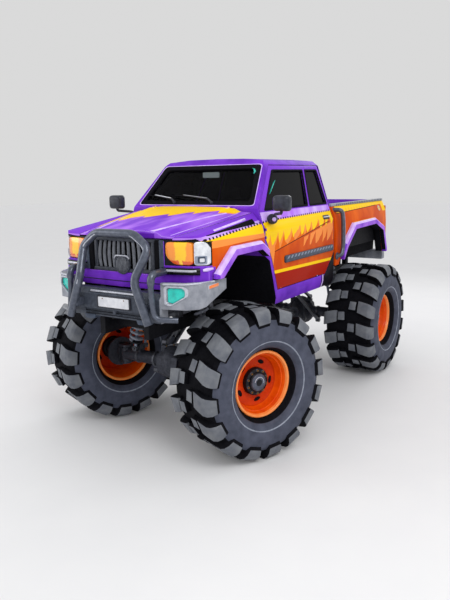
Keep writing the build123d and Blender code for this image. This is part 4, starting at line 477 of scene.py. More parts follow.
class Piece:
    """Collects shapes, in metres from the front axle, and makes one object of them."""

    def __init__(self, look):
        self.looks = [look]
        self.points, self.faces, self.face_looks = [], [], []

    def index_of(self, look):
        if look not in self.looks:
            self.looks.append(look)
        return self.looks.index(look)

    def add(self, points, faces, look=None, place=None):
        base = len(self.points)
        self.points += [place @ Vector(p) if place else Vector(p) for p in points]
        self.faces += [tuple(base + index for index in face) for face in faces]
        self.face_looks += [self.index_of(look or self.looks[0])] * len(faces)

    def rings(self, rings, look=None, closed=False, capped=True, place=None):
        """A skin over rings of equal point counts, capped at its ends unless it closes on itself."""
        count = len(rings[0])
        faces = []
        for one in range(len(rings) if closed else len(rings) - 1):
            a, b = one * count, (one + 1) % len(rings) * count
            faces += [(a + k, a + (k + 1) % count, b + (k + 1) % count, b + k) for k in range(count)]
        if capped and not closed:
            faces += [tuple(range(count))[::-1], tuple((len(rings) - 1) * count + k for k in range(count))]
        self.add([p for ring in rings for p in ring], faces, look, place)

    def lathe(self, profile, look=None, segments=48, place=None, looks=None):
        """A surface of revolution about X from (x, radius) points; looks may name one for each step."""
        turns = [2 * pi * k / segments for k in range(segments)]
        rings = [[(x, r * sin(turn), r * cos(turn)) for turn in turns] for x, r in profile]
        for index in range(len(rings) - 1):
            self.rings(rings[index : index + 2], looks[index] if looks else look, capped=False, place=place)

    def tube(self, path, radius, look=None, sides=12, squeeze=1.0):
        """A tube along a path, or with a list of radii one that tapers."""
        path = [Vector(p) for p in path]
        radii = radius if isinstance(radius, list) else [radius] * len(path)
        heading = (path[1] - path[0]).normalized()
        normal = heading.orthogonal() if abs(heading.z) > 0.9 else heading.cross(Vector((0, 0, 1)))
        rings = []
        for index, (point, r) in enumerate(zip(path, radii)):
            ahead = (path[min(index + 1, len(path) - 1)] - path[max(index - 1, 0)]).normalized()
            normal = (heading.rotation_difference(ahead) @ normal).normalized()
            heading = ahead
            side = heading.cross(normal)
            rings.append([point + normal * (r * u) + side * (r * v) for u, v in arc(1.0, squeeze, sides)[:-1]])
        self.rings(rings, look)

    def prism(self, outline, low, high, look=None, axis="y"):
        """An outline of the two other axes, in order, carried from low to high along X or Y."""
        spread = (lambda t, u, v: (t, u, v)) if axis == "x" else (lambda t, u, v: (u, t, v))
        self.rings([[spread(t, u, v) for u, v in outline] for t in (low, high)], look)

    def on_nose(self, outline, depths, look=None, capped=True):
        """An outline (x, z) carried out from the body's front face, from one depth to the next."""
        self.rings([[(u, nose(u) - out, v) for u, v in outline] for out in depths], look, capped=capped)

    def on_side(self, outline, hand, depths, look=None):
        """An outline (y, z) carried out from a door's face, from one depth to the next."""
        self.rings([[(hand * (side(v) + out), u, v) for u, v in outline] for out in depths], look)

    def nut(self, centre, axis, radius, height, look="nut"):
        """A six-sided nut with a chamfered top, standing on centre."""
        centre, axis = Vector(centre), Vector(axis).normalized()
        across = axis.orthogonal().normalized()
        other = axis.cross(across)
        rings = []
        for share, rise in ((1.0, 0.0), (1.0, 0.75), (0.82, 1.0)):
            top = centre + axis * (rise * height)
            rings.append([top + (across * u + other * v) * radius * share for u, v in arc(1, 1, 6)[:-1]])
        self.rings(rings, look)

    def strip(self, first, second, lift, look=None):
        """A thin band between two lines of points on a surface, standing out of it by lift (a vector)."""
        lift = Vector(lift)
        pairs = [(Vector(a), Vector(b)) for a, b in zip(first, second)]
        self.rings([[a - lift, b - lift, b + lift, a + lift] for a, b in pairs], look)

    def both(self):
        """Adds the mirror image on the other side."""
        count = len(self.points)
        self.points += [Vector((-p.x, p.y, p.z)) for p in self.points]
        self.faces += [tuple(count + index for index in face) for face in self.faces]
        self.face_looks += self.face_looks
        return self

    def mesh(self, name, bevel=0.0, steps=2, sharp=32, smooth=38):
        mesh = bpy.data.meshes.new(name)
        mesh.from_pydata(self.points, [], self.faces)
        for look in self.looks:
            mesh.materials.append(MATERIALS[look])
        mesh.polygons.foreach_set("material_index", self.face_looks)
        finish_mesh(mesh, bevel, steps, sharp, smooth, 2e-5)
        return mesh

    def make(self, name, slot, replaces=(), body="chassis", **finish):
        return put(self.mesh(name, **finish), name, body, replaces, Matrix.Translation((0, SHIFT, 0)))


def finish_mesh(mesh, bevel, steps, sharp, smooth, weld, flatten=False, edge=-1):
    """Welds, rounds the sharp edges (with the finish at index edge) and sets smooth shading."""
    work = bmesh.new()
    work.from_mesh(mesh)
    bmesh.ops.remove_doubles(work, verts=work.verts, dist=weld)
    if flatten:
        limits = {"angle_limit": radians(1.0), "delimit": {"MATERIAL"}}
        bmesh.ops.dissolve_limit(work, verts=work.verts, edges=work.edges, **limits)
    bmesh.ops.recalc_face_normals(work, faces=work.faces)
    if bevel:
        edges = [e for e in work.edges if len(e.link_faces) == 2 and e.calc_face_angle(0) > radians(sharp)]
        shape = {"offset": bevel, "segments": steps, "profile": 0.5, "affect": "EDGES", "clamp_overlap": True}
        bmesh.ops.bevel(work, geom=edges, material=edge, **shape)
    work.to_mesh(mesh)
    work.free()
    mesh.polygons.foreach_set("use_smooth", [True] * len(mesh.polygons))
    mesh.set_sharp_from_angle(angle=radians(smooth))


def put(mesh, name, body, replaces=(), place=None):
    """Makes an object of a mesh, moved to its place, that rides on a body."""
    if place is not None:
        mesh.transform(place)
        if place.determinant() < 0:
            mesh.flip_normals()
    made = link(bpy.data.objects.new(name, mesh))
    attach(made, body)
    if replaces:
        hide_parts(*replaces)
    return made


def soften(node, width, steps=2, look=None, edge=None):
    """A copy of a CAD node with its edges rounded, shown in its place; look may choose a face's finish."""
    mesh = frame["nodes"][node].data.copy()

    def index_of(name):
        material = MATERIALS[name]
        if mesh.materials.find(material.name) < 0:
            mesh.materials.append(material)
        return mesh.materials.find(material.name)

    edge_index = index_of(edge) if edge else -1
    finish_mesh(mesh, width, steps, 28, 42, 1e-5, True, edge_index)
    for face in mesh.polygons if look else ():
        name = look(face.normal, face.center - Vector((0, SHIFT, 0)), face.material_index == edge_index)
        if name:
            face.material_index = index_of(name)
    return put(mesh, node + "_finish", BODY_OF[node], (node,))


def on_wheels(kind, piece, slot, **finish):
    """Puts one piece, drawn with X outboard from the tyre's middle, on all four wheels in place of that node."""
    mesh = piece.mesh(kind, **finish)
    for name, side in SIDES:
        hand = Matrix.Diagonal((side, 1, 1, 1))
        kingpin = Matrix.Translation(at(side * KINGPIN_X, 0, AXLE_Z)) @ Matrix.Rotation(DRAWN_STEER, 4, "Z")
        front = kingpin @ hand @ Matrix.Translation((KINGPIN_TO_WHEEL, 0, 0))
        rear = Matrix.Translation(at(side * REAR_WHEEL_X, WHEELBASE, AXLE_Z)) @ hand
        for end, place in (("front_", front), ("rear_", rear)):
            node = kind + "_" + end + name
            put(mesh.copy(), node + "_finish", "wheel_" + end + name, (node,), place)


# Wheels

def polar(x, radius, along, around):
    """A point of a wheel: along metres behind the angle around, measured at the shoulder of the tread."""
    turn = around + along / SHOULDER_RADIUS
    return x, radius * sin(turn), radius * cos(turn)


def tyres():
    """Long curled lugs on each shoulder, short ones between them, and a bulging sidewall, with near black painted
    shade in the hollows and lighter painted highlight on the lugs' tops and a sidewall ring.
    """
    piece = Piece("tyre")
    wall = [(0.236, BEAD_RADIUS), (0.258, 0.392), (0.286, 0.402), (0.326, 0.418), (0.358, 0.450), (0.378, 0.500)]
    wall += [(0.386, 0.560), (0.383, 0.622), (0.366, 0.676), (0.340, 0.718), (0.304, 0.750), (0.236, 0.764)]
    wall += [(0.120, 0.770), (0.0, 0.772)]
    # painted shade: the hollow by the rim and the tread floor between the lugs are near black
    looks = ["rubber_dark"] * 3 + ["tyre"] * 6 + ["rubber_dark"] * 4
    piece.lathe(wall + [(-x, r) for x, r in wall[-2::-1]], looks=looks + looks[::-1], segments=96)
    # painted highlight: a pale ring on the sidewall
    ring = ((0.3690, 0.4840), (0.3755, 0.4880), (0.3785, 0.4930), (0.3800, 0.4980), (0.3765, 0.501))
    for side in (1, -1):
        piece.lathe([(side * x, r) for x, r in ring], "pale_rubber", 96)
    # columns: x and radius of the top, x and radius of the foot, half width, how far the lug has run forward
    stations = (
        (0.150, 0.806, 0.156, 0.760, 0.078, 0.010),
        (0.158, 0.834, 0.160, 0.756, 0.084, 0.013),
        (0.200, 0.8375, 0.198, 0.751, 0.087, 0.022),
        (0.245, 0.8375, 0.240, 0.748, 0.090, 0.034),
        (0.315, 0.8330, 0.298, 0.738, 0.095, 0.054),
        (0.353, 0.8080, 0.325, 0.722, 0.097, 0.066),
        (0.3795, 0.7600, 0.343, 0.694, 0.096, 0.074),
        (0.3870, 0.7000, 0.366, 0.656, 0.088, 0.078),
    )
    block = ((0.022, -0.060), (0.130, -0.066), (0.134, 0.052), (0.034, 0.058))
    # painted shade and highlight: the lugs' sides are near black and their tops a lighter grey
    lug = piece.index_of("lug")
    for side, offset in ((1, 0.0), (-1, 0.5)):
        for index in range(LUGS):
            around = (index + offset) * 2 * pi / LUGS
            rings = []
            for x, r, foot_x, foot_r, half, run in stations:
                foot, top = half + 0.006, half - 0.002
                section = ((foot_x, foot_r, -foot), (x, r, -top), (x, r, top), (foot_x, foot_r, foot))
                rings.append([polar(side * a, radius, along - run, around) for a, radius, along in section])
            base = len(piece.faces)
            piece.rings(rings, "rubber_dark")
            for step in range(len(stations) - 1):
                piece.face_looks[base + step * 4 + 1] = lug
            low = [polar(side * x, 0.762, reach * 1.06, around) for x, reach in block]
            high = [polar(side * x * 0.97, 0.832, reach, around) for x, reach in block]
            base = len(piece.faces)
            piece.rings([low, high], "rubber_dark")
            piece.face_looks[base + 5] = lug
    on_wheels("tyre", piece, "tyre", bevel=0.007, sharp=24, smooth=36)


def rims():
    """A deep dish with a thick bright lip, a disc with raised oval rings filled with dark ovals as painted shade in
    place of holes, and a plain inboard barrel.
    """
    piece = Piece("rim_orange")
    face = [(0.102, 0.120), (0.102, 0.262), (0.106, 0.276), (0.118, 0.286), (0.150, 0.298), (0.196, 0.310)]
    face += [(0.200, 0.320), (0.224, 0.328), (0.234, 0.336), (0.246, 0.338), (0.258, 0.341), (0.266, 0.348)]
    face += [(0.268, 0.356), (0.266, 0.366), (0.258, 0.3735), (0.244, 0.3745), (0.232, 0.372), (0.20, BEAD_RADIUS)]
    looks = ["rim_disc"] * 3 + ["rim_orange"] * 5 + ["rim_lip"] * 8 + ["rim_orange"]
    piece.lathe(face, looks=looks, segments=96)
    back = [(0.20, BEAD_RADIUS), (-0.20, BEAD_RADIUS), (-0.244, 0.3745), (-0.258, 0.3735), (-0.266, 0.366)]
    back += [(-0.268, 0.356), (-0.266, 0.348), (-0.246, 0.338), (-0.200, 0.322), (0.000, 0.306), (0.070, 0.288)]
    back += [(0.084, 0.270), (0.084, 0.120)]
    looks = ["rim_orange"] * 2 + ["rim_lip"] * 5 + ["rim_orange"] * 3 + ["rim_disc"] * 2
    piece.lathe(back, looks=looks, segments=96)
    piece.lathe([(0.084, 0.120), (0.102, 0.120)], "rim_disc", 96)
    oval = arc(0.045, 0.023, 20)[:-1]
    for hole in range(RIM_HOLES):
        turn = 2 * pi * hole / RIM_HOLES + 0.45
        middle = Matrix.Rotation(-turn, 4, "X") @ Matrix.Translation((0, 0, 0.222))
        steps = ((0.0985, 1.30), (0.1045, 1.24), (0.1055, 1.06), (0.1025, 0.98))
        rings = [[(x, u * grow, v * grow) for u, v in oval] for x, grow in steps]
        piece.rings(rings, "rim_disc", capped=False, place=middle)
        # painted shade: dark ovals stand in for the holes
        for x in (0.1028, 0.0832):
            piece.add([(x, u, v) for u, v in oval], [tuple(range(20))], "rubber_dark", middle)
    on_wheels("rim", piece, "rim_orange", smooth=30)


def hubs():
    """A black hub with nuts round it, and a grey cap with a pale arc on it that is a painted highlight."""
    piece = Piece("hub_black")
    ring = [(0.034, 0.0), (0.034, 0.132), (0.040, 0.146), (0.098, 0.156), (0.144, 0.154), (0.156, 0.148)]
    piece.lathe(ring + [(0.160, 0.138), (0.160, 0.0)], segments=64)
    piece.lathe([(0.154, 0.112), (0.174, 0.110), (0.180, 0.104), (0.180, 0.0)])
    piece.lathe([(0.170, 0.098), (0.188, 0.096), (0.196, 0.088), (0.198, 0.076), (0.198, 0.0)], "hub_grey")
    # painted highlight: a pale arc on the cap
    turns = [radians(a) for a in range(-80, 101, 12)]
    piece.tube([(0.1985, 0.060 * sin(a), 0.060 * cos(a)) for a in turns], 0.005, "pale_trim", 8)
    piece.lathe([(0.1965, 0.040), (0.2000, 0.038), (0.2000, 0.0)], "hub_black", 32)
    for index in range(HUB_NUTS):
        turn = 2 * pi * index / HUB_NUTS
        spot = (0, 0.129 * sin(turn), 0.129 * cos(turn))
        piece.lathe([(0.154, 0.018), (0.163, 0.017), (0.164, 0.0)], "hub_grey", 16, Matrix.Translation(spot))
        piece.nut((0.162, spot[1], spot[2]), (1, 0, 0), 0.0125, 0.014)
    on_wheels("hub", piece, "hub_black", bevel=0.0015, steps=1, smooth=32)


# Under the body

def along_shock(share, y):
    (low_x, low_z), (high_x, high_z) = SHOCK_FOOT, SHOCK_TOP
    return Vector((low_x, y, low_z)).lerp(Vector((high_x, y, high_z)), share)


def springs():
    """Open coils with their ends wound flat."""
    piece = Piece("axle_grey")
    for y in (y for y, carries in SHOCKS if carries):
        low, high = (along_shock(share, y) for share in SPRING_SPAN)
        place, length = frame_of(low, high), (high - low).length
        path = []
        for index in range(int(SPRING_TURNS * SPRING_STEPS) + 1):
            turn = 2 * pi * index / SPRING_STEPS
            share = min(max(index / (SPRING_TURNS * SPRING_STEPS) * 1.12 - 0.06, 0), 1)
            coil = SPRING_RADIUS * cos(turn), SPRING_RADIUS * sin(turn)
            path.append(place @ Vector((0.016 + (length - 0.032) * share, *coil)))
        piece.tube(path, 0.0165, "spring_steel", 8)
    piece.both().make("coil_springs_finish", "axle_grey", ("coil_springs",))


def shocks():
    """Rods, bodies with two collars, eyes at both ends, and the springs' seats."""
    piece = Piece("grey_metal")
    eye = mirrored([(-0.046, 0.0), (-0.046, 0.018), (-0.030, 0.018), (-0.028, 0.034)])
    for y, carries in SHOCKS:
        start, end = along_shock(0, y), along_shock(1, y)
        length = (end - start).length
        place = frame_of(start, end)
        piece.lathe([(0.0, 0.0), (0.0, 0.020), (length * 0.5, 0.020)], "slate_pale", 20, place)
        body = [(length * 0.45, 0.018), (length * 0.45, 0.040), (length * 0.462, 0.0435), (length - 0.03, 0.0435)]
        piece.lathe(body + [(length - 0.012, 0.034), (length, 0.0)], segments=24, place=place)
        for low in (length * 0.5, length * 0.62):
            piece.lathe(collar(low, low + 0.02, 0.004, 0.043, 0.0455), "hub_black", 24, place)
        for middle in (start, end):
            piece.lathe(eye, None, 20, Matrix.Translation(middle) @ Matrix.Rotation(radians(90), 4, "Z"))
        for share, thick in zip(SPRING_SPAN, (-0.017, 0.017)) if carries else ():
            seat = (along_shock(share, y) - start).length
            back = seat + thick
            profile = [(seat, 0.02), (seat, 0.080), (seat + thick * 0.3, 0.084), (back, 0.084), (back, 0.02)]
            piece.lathe(profile, "hub_black", 32, place)
    piece.both().make("shock_absorbers_finish", "grey_metal", ("shock_absorbers",), bevel=0.0015, steps=1)


def axles():
    """Smooth tubes with collars, and a domed differential with a bolted cover."""
    for name, y, towards, reach in (("front_axle", 0.0, 1, 0.62), ("rear_axle", WHEELBASE, -1, 0.90)):
        piece = Piece("axle_grey")
        place = Matrix.Translation((0, y, AXLE_Z))
        tube = [(-reach, 0.0), (-reach, 0.079), (-0.24, 0.0795), (-0.20, 0.100), (-0.155, 0.110)]
        piece.lathe(mirrored(tube), segments=40, place=place)
        for x in (-reach + 0.05, -0.30, 0.30, reach - 0.05):
            piece.lathe(collar(x - 0.016, x + 0.016, 0.002, 0.078, 0.090), "grey_metal", 40, place)
        facing = place @ Matrix.Rotation(radians(-90 * towards), 4, "Z")
        dome = arc(0.212, 0.216, 10, 90) + [(-0.02, 0.216), (-0.05, 0.212), (-0.16, 0.150)]
        piece.lathe(dome + [(-0.24, 0.100), (-0.30, 0.098), (-0.31, 0.0)], segments=40, place=facing)
        piece.lathe(collar(0.030, -0.002, -0.002, 0.216, 0.228), "grey_metal", 40, facing)
        for index in range(COVER_BOLTS):
            turn = 2 * pi * index / COVER_BOLTS
            spot = facing @ Vector((0.026, 0.222 * sin(turn), 0.222 * cos(turn)))
            piece.nut(spot, facing.to_3x3() @ Vector((1, 0, 0)), 0.010, 0.012)
        piece.make(name + "_cover", "axle_grey", bevel=0.002, steps=1)


# Body

def along_line(line, value):
    """Reads a line of (place, value) points at a place between them."""
    for (a, first), (b, second) in zip(line, line[1:]):
        if a <= value <= b:
            return first + (second - first) * (value - a) / (b - a)
    return line[0][1] if value < line[0][0] else line[-1][1]


def nose(x):
    return along_line(NOSE, abs(x))


def side(z):
    return along_line(SIDE, z)


def bumper_end(x):
    return along_line(BUMPER_END, x)


def nose_line(places, out, z):
    return [(x, nose(x) - out, z) for x in places]


def panels():
    """Body panels with their edges rounded and most of them given a painted highlight, their inner faces black, and
    their downward faces black as painted shade.
    """

    # Faces turned inwards are the dark trim and liners; faces turned down are made black as painted shade.
    def hidden(normal, place):
        return (normal.x * place.x < 0 and abs(normal.x) > 0.4) or normal.z < -0.35

    def cab(normal, place, rounded):
        inside = (normal.y > 0.6 and place.y < 2.2) or (normal.y < -0.6 and (place.y > 1.2 or place.z < 2.45))
        if hidden(normal, place) or inside or (normal.z > 0.6 and place.z < 2.2):
            return "rubber_dark"
        # Rounded edges high on the cab and towards its back are a painted highlight; low ones at the front are deep
        # purple.
        if rounded:
            return "lilac" if place.z > 2.5 else None if place.y > 1.9 else "purple_deep"

    def door(normal, place, rounded):
        # The door's upper rounded edges are a painted highlight; its lower ones are black joint lines.
        if rounded:
            return "lilac" if place.z > 2.635 else "stripe_black"
        return "black_plastic" if hidden(normal, place) else None

    def fender(normal, place, rounded):
        if hidden(normal, place) or normal.y > 0.5:
            return "rubber_dark"
        # The fenders' upper rounded edges are a painted highlight.
        return ("lilac" if place.z > 2.44 else "flame_orange") if rounded else None

    def flare(normal, place, rounded):
        if hidden(normal, place):
            return "rubber_dark"
        # Painted highlight: the rear flares' flat tops are yellow, their rounded edges and upward faces pale lilac,
        # and their outboard faces lilac.
        if not rounded and normal.z > 0.9 and place.y > 2.6:
            return "flame_yellow"
        if rounded or normal.z > 0.5:
            return "lilac_pale"
        return "lilac" if abs(normal.x) > 0.85 else None

    def bed(normal, place, rounded):
        if hidden(normal, place) or (abs(normal.y) > 0.7 and 2.6 < place.y < 4.6):
            return "rubber_dark"
        return "flame_orange" if rounded else None

    def bumper(normal, place, rounded):
        # Painted highlight: the bumper's upward rounded edges are pale, at its ends and in its middle.
        if abs(place.x) > 0.60:
            return ("pale_trim" if normal.z > 0.1 else "slate_pale") if rounded else None
        return "slate_pale" if rounded and normal.z > 0.1 else "bumper_dark"

    def plain(normal, place, rounded):
        return "rubber_dark" if hidden(normal, place) else None

    # the last column is the finish of rounded edges, a lighter tone that is a painted highlight where the look
    # keeps it
    for node, width, steps, look, edge in (
        ("cab", 0.010, 2, cab, "lilac"),
        ("hood", 0.010, 2, plain, "lilac_pale"),
        ("front_fenders", 0.009, 2, fender, "lilac"),
        ("front_panel", 0.009, 2, plain, "lilac"),
        ("tailgate", 0.009, 2, plain, "lilac"),
        ("bed_sides", 0.009, 2, bed, "lilac"),
        ("door_left", 0.009, 2, door, "lilac"),
        ("door_right", 0.009, 2, door, "lilac"),
        ("wheel_arch_flares", 0.012, 3, flare, "lilac_pale"),
        ("front_bumper", 0.012, 3, bumper, "pale_trim"),
        ("rear_bumper", 0.018, 3, None, None),
        ("dashboard", 0.02, 3, None, None),
        ("bed_rails", 0.010, 3, None, None),
        ("fog_lamps", 0.012, 3, None, None),
        ("tail_lamps", 0.012, 3, None, None),
        ("bed_tub", 0.008, 1, plain, None),
        ("frame", 0.006, 1, None, None),
        ("engine", 0.012, 1, None, None),
    ):
        soften(node, width, steps, look, edge)


def drape(node):
    """A function that puts a point (x, y from the front axle) on a node's upper surface."""
    mesh = frame["nodes"][node].data
    tree = BVHTree.FromPolygons([v.co for v in mesh.vertices], [tuple(f.vertices) for f in mesh.polygons])
    return lambda x, y: tree.ray_cast(at(x, y, 4.0), Vector((0, 0, -1)))[0] - Vector((0, SHIFT, 0))


def hood_lines():
    """Painted highlights: pale strips along the hood's crease lines, broad at its front corners."""
    on_top = drape("hood")
    piece = Piece("lilac_pale")
    crease_highlights = (((0.385, -0.835), (0.640, 0.20), 0.055, 0.012), ((0.590, -0.790), (0.735, 0.30), 0.012, 0.006))
    for start, end, wide, thin in crease_highlights:
        inner, outer = [], []
        for share in (step / 16 for step in range(17)):
            x, y = lerp(start[0], end[0], share), lerp(start[1], end[1], share)
            half = lerp(wide, thin, share**0.6) / 2
            inner.append(on_top(x - half, y))
            outer.append(on_top(x + half, y))
        piece.strip(inner, outer, (0, 0, 0.0016))
    piece.both().make("hood_crease_highlights", "body_purple", body="hood_lid")


def tubes():
    """The bull bar's round tubes, the loops beside it, and the hoops behind the cab, with pale lines along the bull
    bar and the hoops as painted highlights.
    """
    piece = Piece("tube_grey")
    half = [(0.545, -1.147, 1.590), (0.372, -1.147, 2.030), (0.452, -0.985, 2.345), (0.265, -0.985, 2.490)]
    path = turned(mirrored(half), 6, 0.075)
    piece.tube(path, 0.0445, sides=24)
    # painted highlight: a pale line along the inner side of the bull bar's tube
    shine = []
    for x, y, z in (point for point in path if point.z > 1.66):
        shine.append((x * 0.94 + (0.012 if z < 2.4 else 0.0) * (1 if x > 0 else -1), y - 0.034, z - 0.006))
    piece.tube(shine, 0.0095, "pale_trim", 8)
    loop = [(0.560, -0.850, 2.105), (0.560, -1.105, 2.105), (0.560, -1.105, 1.895), (0.585, -1.105, 1.650)]
    path = turned(loop + [(0.800, -0.985, 1.640)], 8, 0.09)
    loops = Piece("tube_grey")
    loops.tube(path, [0.040 if p.z > 2.0 else 0.030 for p in path], sides=18)
    loops.prism(rounded(-1.150, 1.70, -1.038, 1.79, 0.01, 4), 0.440, 0.500, axis="x")
    piece.add(loops.points, loops.faces)
    piece.add([(-p.x, p.y, p.z) for p in loops.points], loops.faces)
    piece.make("bull_bar_finish", "tube_grey", ("bull_bar",), bevel=0.004, sharp=50, smooth=50)

    hoop = [(0.945, 2.54, 2.555), (1.078, 2.56, 2.555), (1.078, 2.61, 2.375), (1.078, 2.62, 2.050)]
    path = turned(hoop + [(1.078, 2.57, 1.920), (1.019, 2.54, 1.900)], 8, 0.09)
    piece = Piece("tube_grey")
    piece.tube(path, 0.031, sides=18)
    foot = [(1.0155, 0.0), (1.0155, 0.052), (1.026, 0.052), (1.030, 0.045), (1.030, 0.0)]
    piece.lathe(foot, segments=28, place=Matrix.Translation((0, 2.540, 1.900)))
    # painted highlight: a pale line along each hoop
    piece.tube([(x + 0.0315, y - 0.006, z) for x, y, z in path[6:-14]], 0.006, "slate_pale", 8)
    piece.both().make("bed_hoops_finish", "tube_grey", ("bed_hoops",), smooth=50)


def grille():
    """Bowed bars in a dark frame over a black sheet that is painted shade in their gaps, with a bare round badge
    under a short pale bar that is a painted highlight.
    """
    piece = Piece("grille_grey")
    places = [-0.498 + 0.996 * k / 12 for k in range(13)]
    # painted shade: a black sheet behind the bars
    back = [[(x, nose(x) + 0.058, z) for z in (2.066, 2.428)] for x in places]
    piece.rings([[a, b, (b[0], b[1] - 0.006, b[2]), (a[0], a[1] - 0.006, a[2])] for a, b in back], "rubber_dark")
    for low, high in ((2.064, 2.104), (2.392, 2.430)):
        section = rounded(0.0, low, 0.056, high, 0.014)
        piece.rings([[(x, nose(x) + 0.003 + d, z) for d, z in section] for x in places])
    for sign in (1, -1):
        for x, low, high, wide, out, look in (
            (0.518, 2.072, 2.424, 0.052, -0.004, "slate"),
            (0.462, 2.070, 2.424, 0.064, 0.004, "rubber_dark"),
            (0.398, 2.100, 2.396, 0.040, 0.012, "grille_grey"),
        ):
            outline = [(sign * u, v) for u, v in rounded(x - wide / 2, low, x + wide / 2, high, 0.016)]
            piece.prism(outline, nose(x) + out - 0.006, nose(x) + 0.056, look)
    section = arc(0.0215, -0.022, 9, 180)
    for x in (index * 0.0685 for index in range(-5, 6)):
        rings = []
        for share in (step / 8 for step in range(9)):
            middle = x + x * (0.06 * sin(pi * share) - 0.05 * share)
            wide, deep = 1 - 0.2 * abs(share - 0.5), 0.7 + 0.3 * sin(pi * share)
            z = 2.100 + 0.296 * share
            rings.append([(middle + u * wide, nose(x) + 0.030 + v * deep, z) for u, v in section])
        piece.rings(rings, "bar_grey")
    badge = Matrix.Translation((0, -0.862, 2.150)) @ Matrix.Rotation(radians(-90), 4, "Z")
    dish = [(0.0, 0.104), (0.022, 0.108), (0.030, 0.102), (0.031, 0.090), (0.024, 0.086), (0.023, 0.0)]
    piece.lathe(dish, place=badge)
    for x in (index * 0.0185 for index in range(-4, 5)):
        reach = (0.084**2 - x**2) ** 0.5
        piece.tube([(x, -0.888, 2.150 - reach), (x, -0.889, 2.150 + reach)], 0.0058, "bar_grey", 8)
    # painted highlight: the short pale bar over the badge
    brow_highlight = mirrored([(-0.106, -0.888, 2.212), (-0.078, -0.896, 2.244)])
    piece.tube(turned(brow_highlight, 5, 0.04), 0.0085, "pale_trim", 10)
    piece.make("grille_finish", "grille_grey", ("grille",), bevel=0.002, steps=1, sharp=40, smooth=50)


def lamps():
    """Crowned lenses on a black ground, with a bar carrying a pale painted highlight line, a small marker and a
    seam under them, and a black block in the gap above the bumper as painted shade.
    """
    piece = Piece("black_gloss")
    outline = rounded(0.528, 2.150, 0.992, 2.424, 0.03, 4)
    piece.on_nose(outline, (-0.055, -0.012), capped=False)
    front = [(u, nose(u) + 0.012, v) for u, v in outline]
    pairs = list(zip(front, front[::-1]))[: len(front) // 2]
    piece.rings([[a, (a[0], a[1] + 0.02, a[2]), (b[0], b[1] + 0.02, b[2]), b] for a, b in pairs])
    piece.both().make("lamp_grounds", "black_plastic", smooth=40)

    amber = ((0.566, 2.406), (0.856, 2.406), (0.858, 2.176), (0.660, 2.176), (0.566, 2.262))
    clear = ((0.876, 2.412), (0.958, 2.412), (0.990, 2.360), (0.990, 2.174), (0.876, 2.174))
    crown = ((1.0, -0.05), (1.0, 0.0), (0.97, 0.0048), (0.90, 0.0084), (0.6, 0.01104), (0.2, 0.012))
    lenses = (("headlamps", "amber_lens", amber, 0.045), ("corner_lamps", "clear_lens", clear, 0.030))
    for node, slot, corners, radius in lenses:
        piece = Piece(slot)
        spots = [Vector(spot) for spot in smooth_outline(corners, radius, 6)]
        middle = sum(spots, Vector((0, 0))) / len(spots)
        rings = []
        for grow, out in crown:
            spread = [middle + (spot - middle) * grow for spot in spots]
            rings.append([(p.x, nose(p.x) - out, p.y) for p in spread])
        piece.rings(rings)
        piece.both().make(node + "_finish", slot, (node,), smooth=60)

    piece = Piece("black_gloss")
    under = nose_line((0.530, 0.548, 0.640, 0.760, 0.860, 0.925), 0.016, 2.112)
    piece.tube(turned(under, 3, 0.05), 0.020, None, 16, 1.8)
    # painted highlight: a pale line along the black bar
    shine = nose_line((0.548, 0.640, 0.760, 0.860, 0.905), 0.0345, 2.120)
    piece.tube(turned(shine, 3, 0.05), 0.005, "pale_trim", 10, 2.4)
    small = [(x, nose(x) - 0.012, 2.120 + 0.2 * (x - 0.93)) for x in (0.945, 0.975, 1.000)]
    piece.tube(small, [0.008, 0.013, 0.008], "lilac_pale", 14, 1.5)
    seam = nose_line((0.0, 0.2, 0.4, 0.548, 0.700, 0.870, 0.930), 0.001, 1.968)
    piece.tube(seam, 0.005, "stripe_black", 6)
    # painted shade: a black block fills the gap above the bumper
    piece.prism(rectangle(-0.835, 1.84, -0.790, 1.925), 0.0, 0.62, "rubber_dark", "x")
    piece.both().make("lamp_bars", "black_plastic", smooth=50)

    piece = Piece("slate_pale")
    piece.on_nose(rounded(0.886, 2.186, 0.978, 2.272, 0.014), (-0.01, 0.0125), "slate_pale")
    piece.on_nose(rounded(0.908, 2.200, 0.966, 2.262, 0.008), (0.010, 0.0140), "slate")
    piece.on_nose(rounded(0.924, 2.208, 0.960, 2.246, 0.008), (0.012, 0.0160), "white_plastic")
    piece.both().make("corner_lamp_insets", "clear_lens", smooth=40)


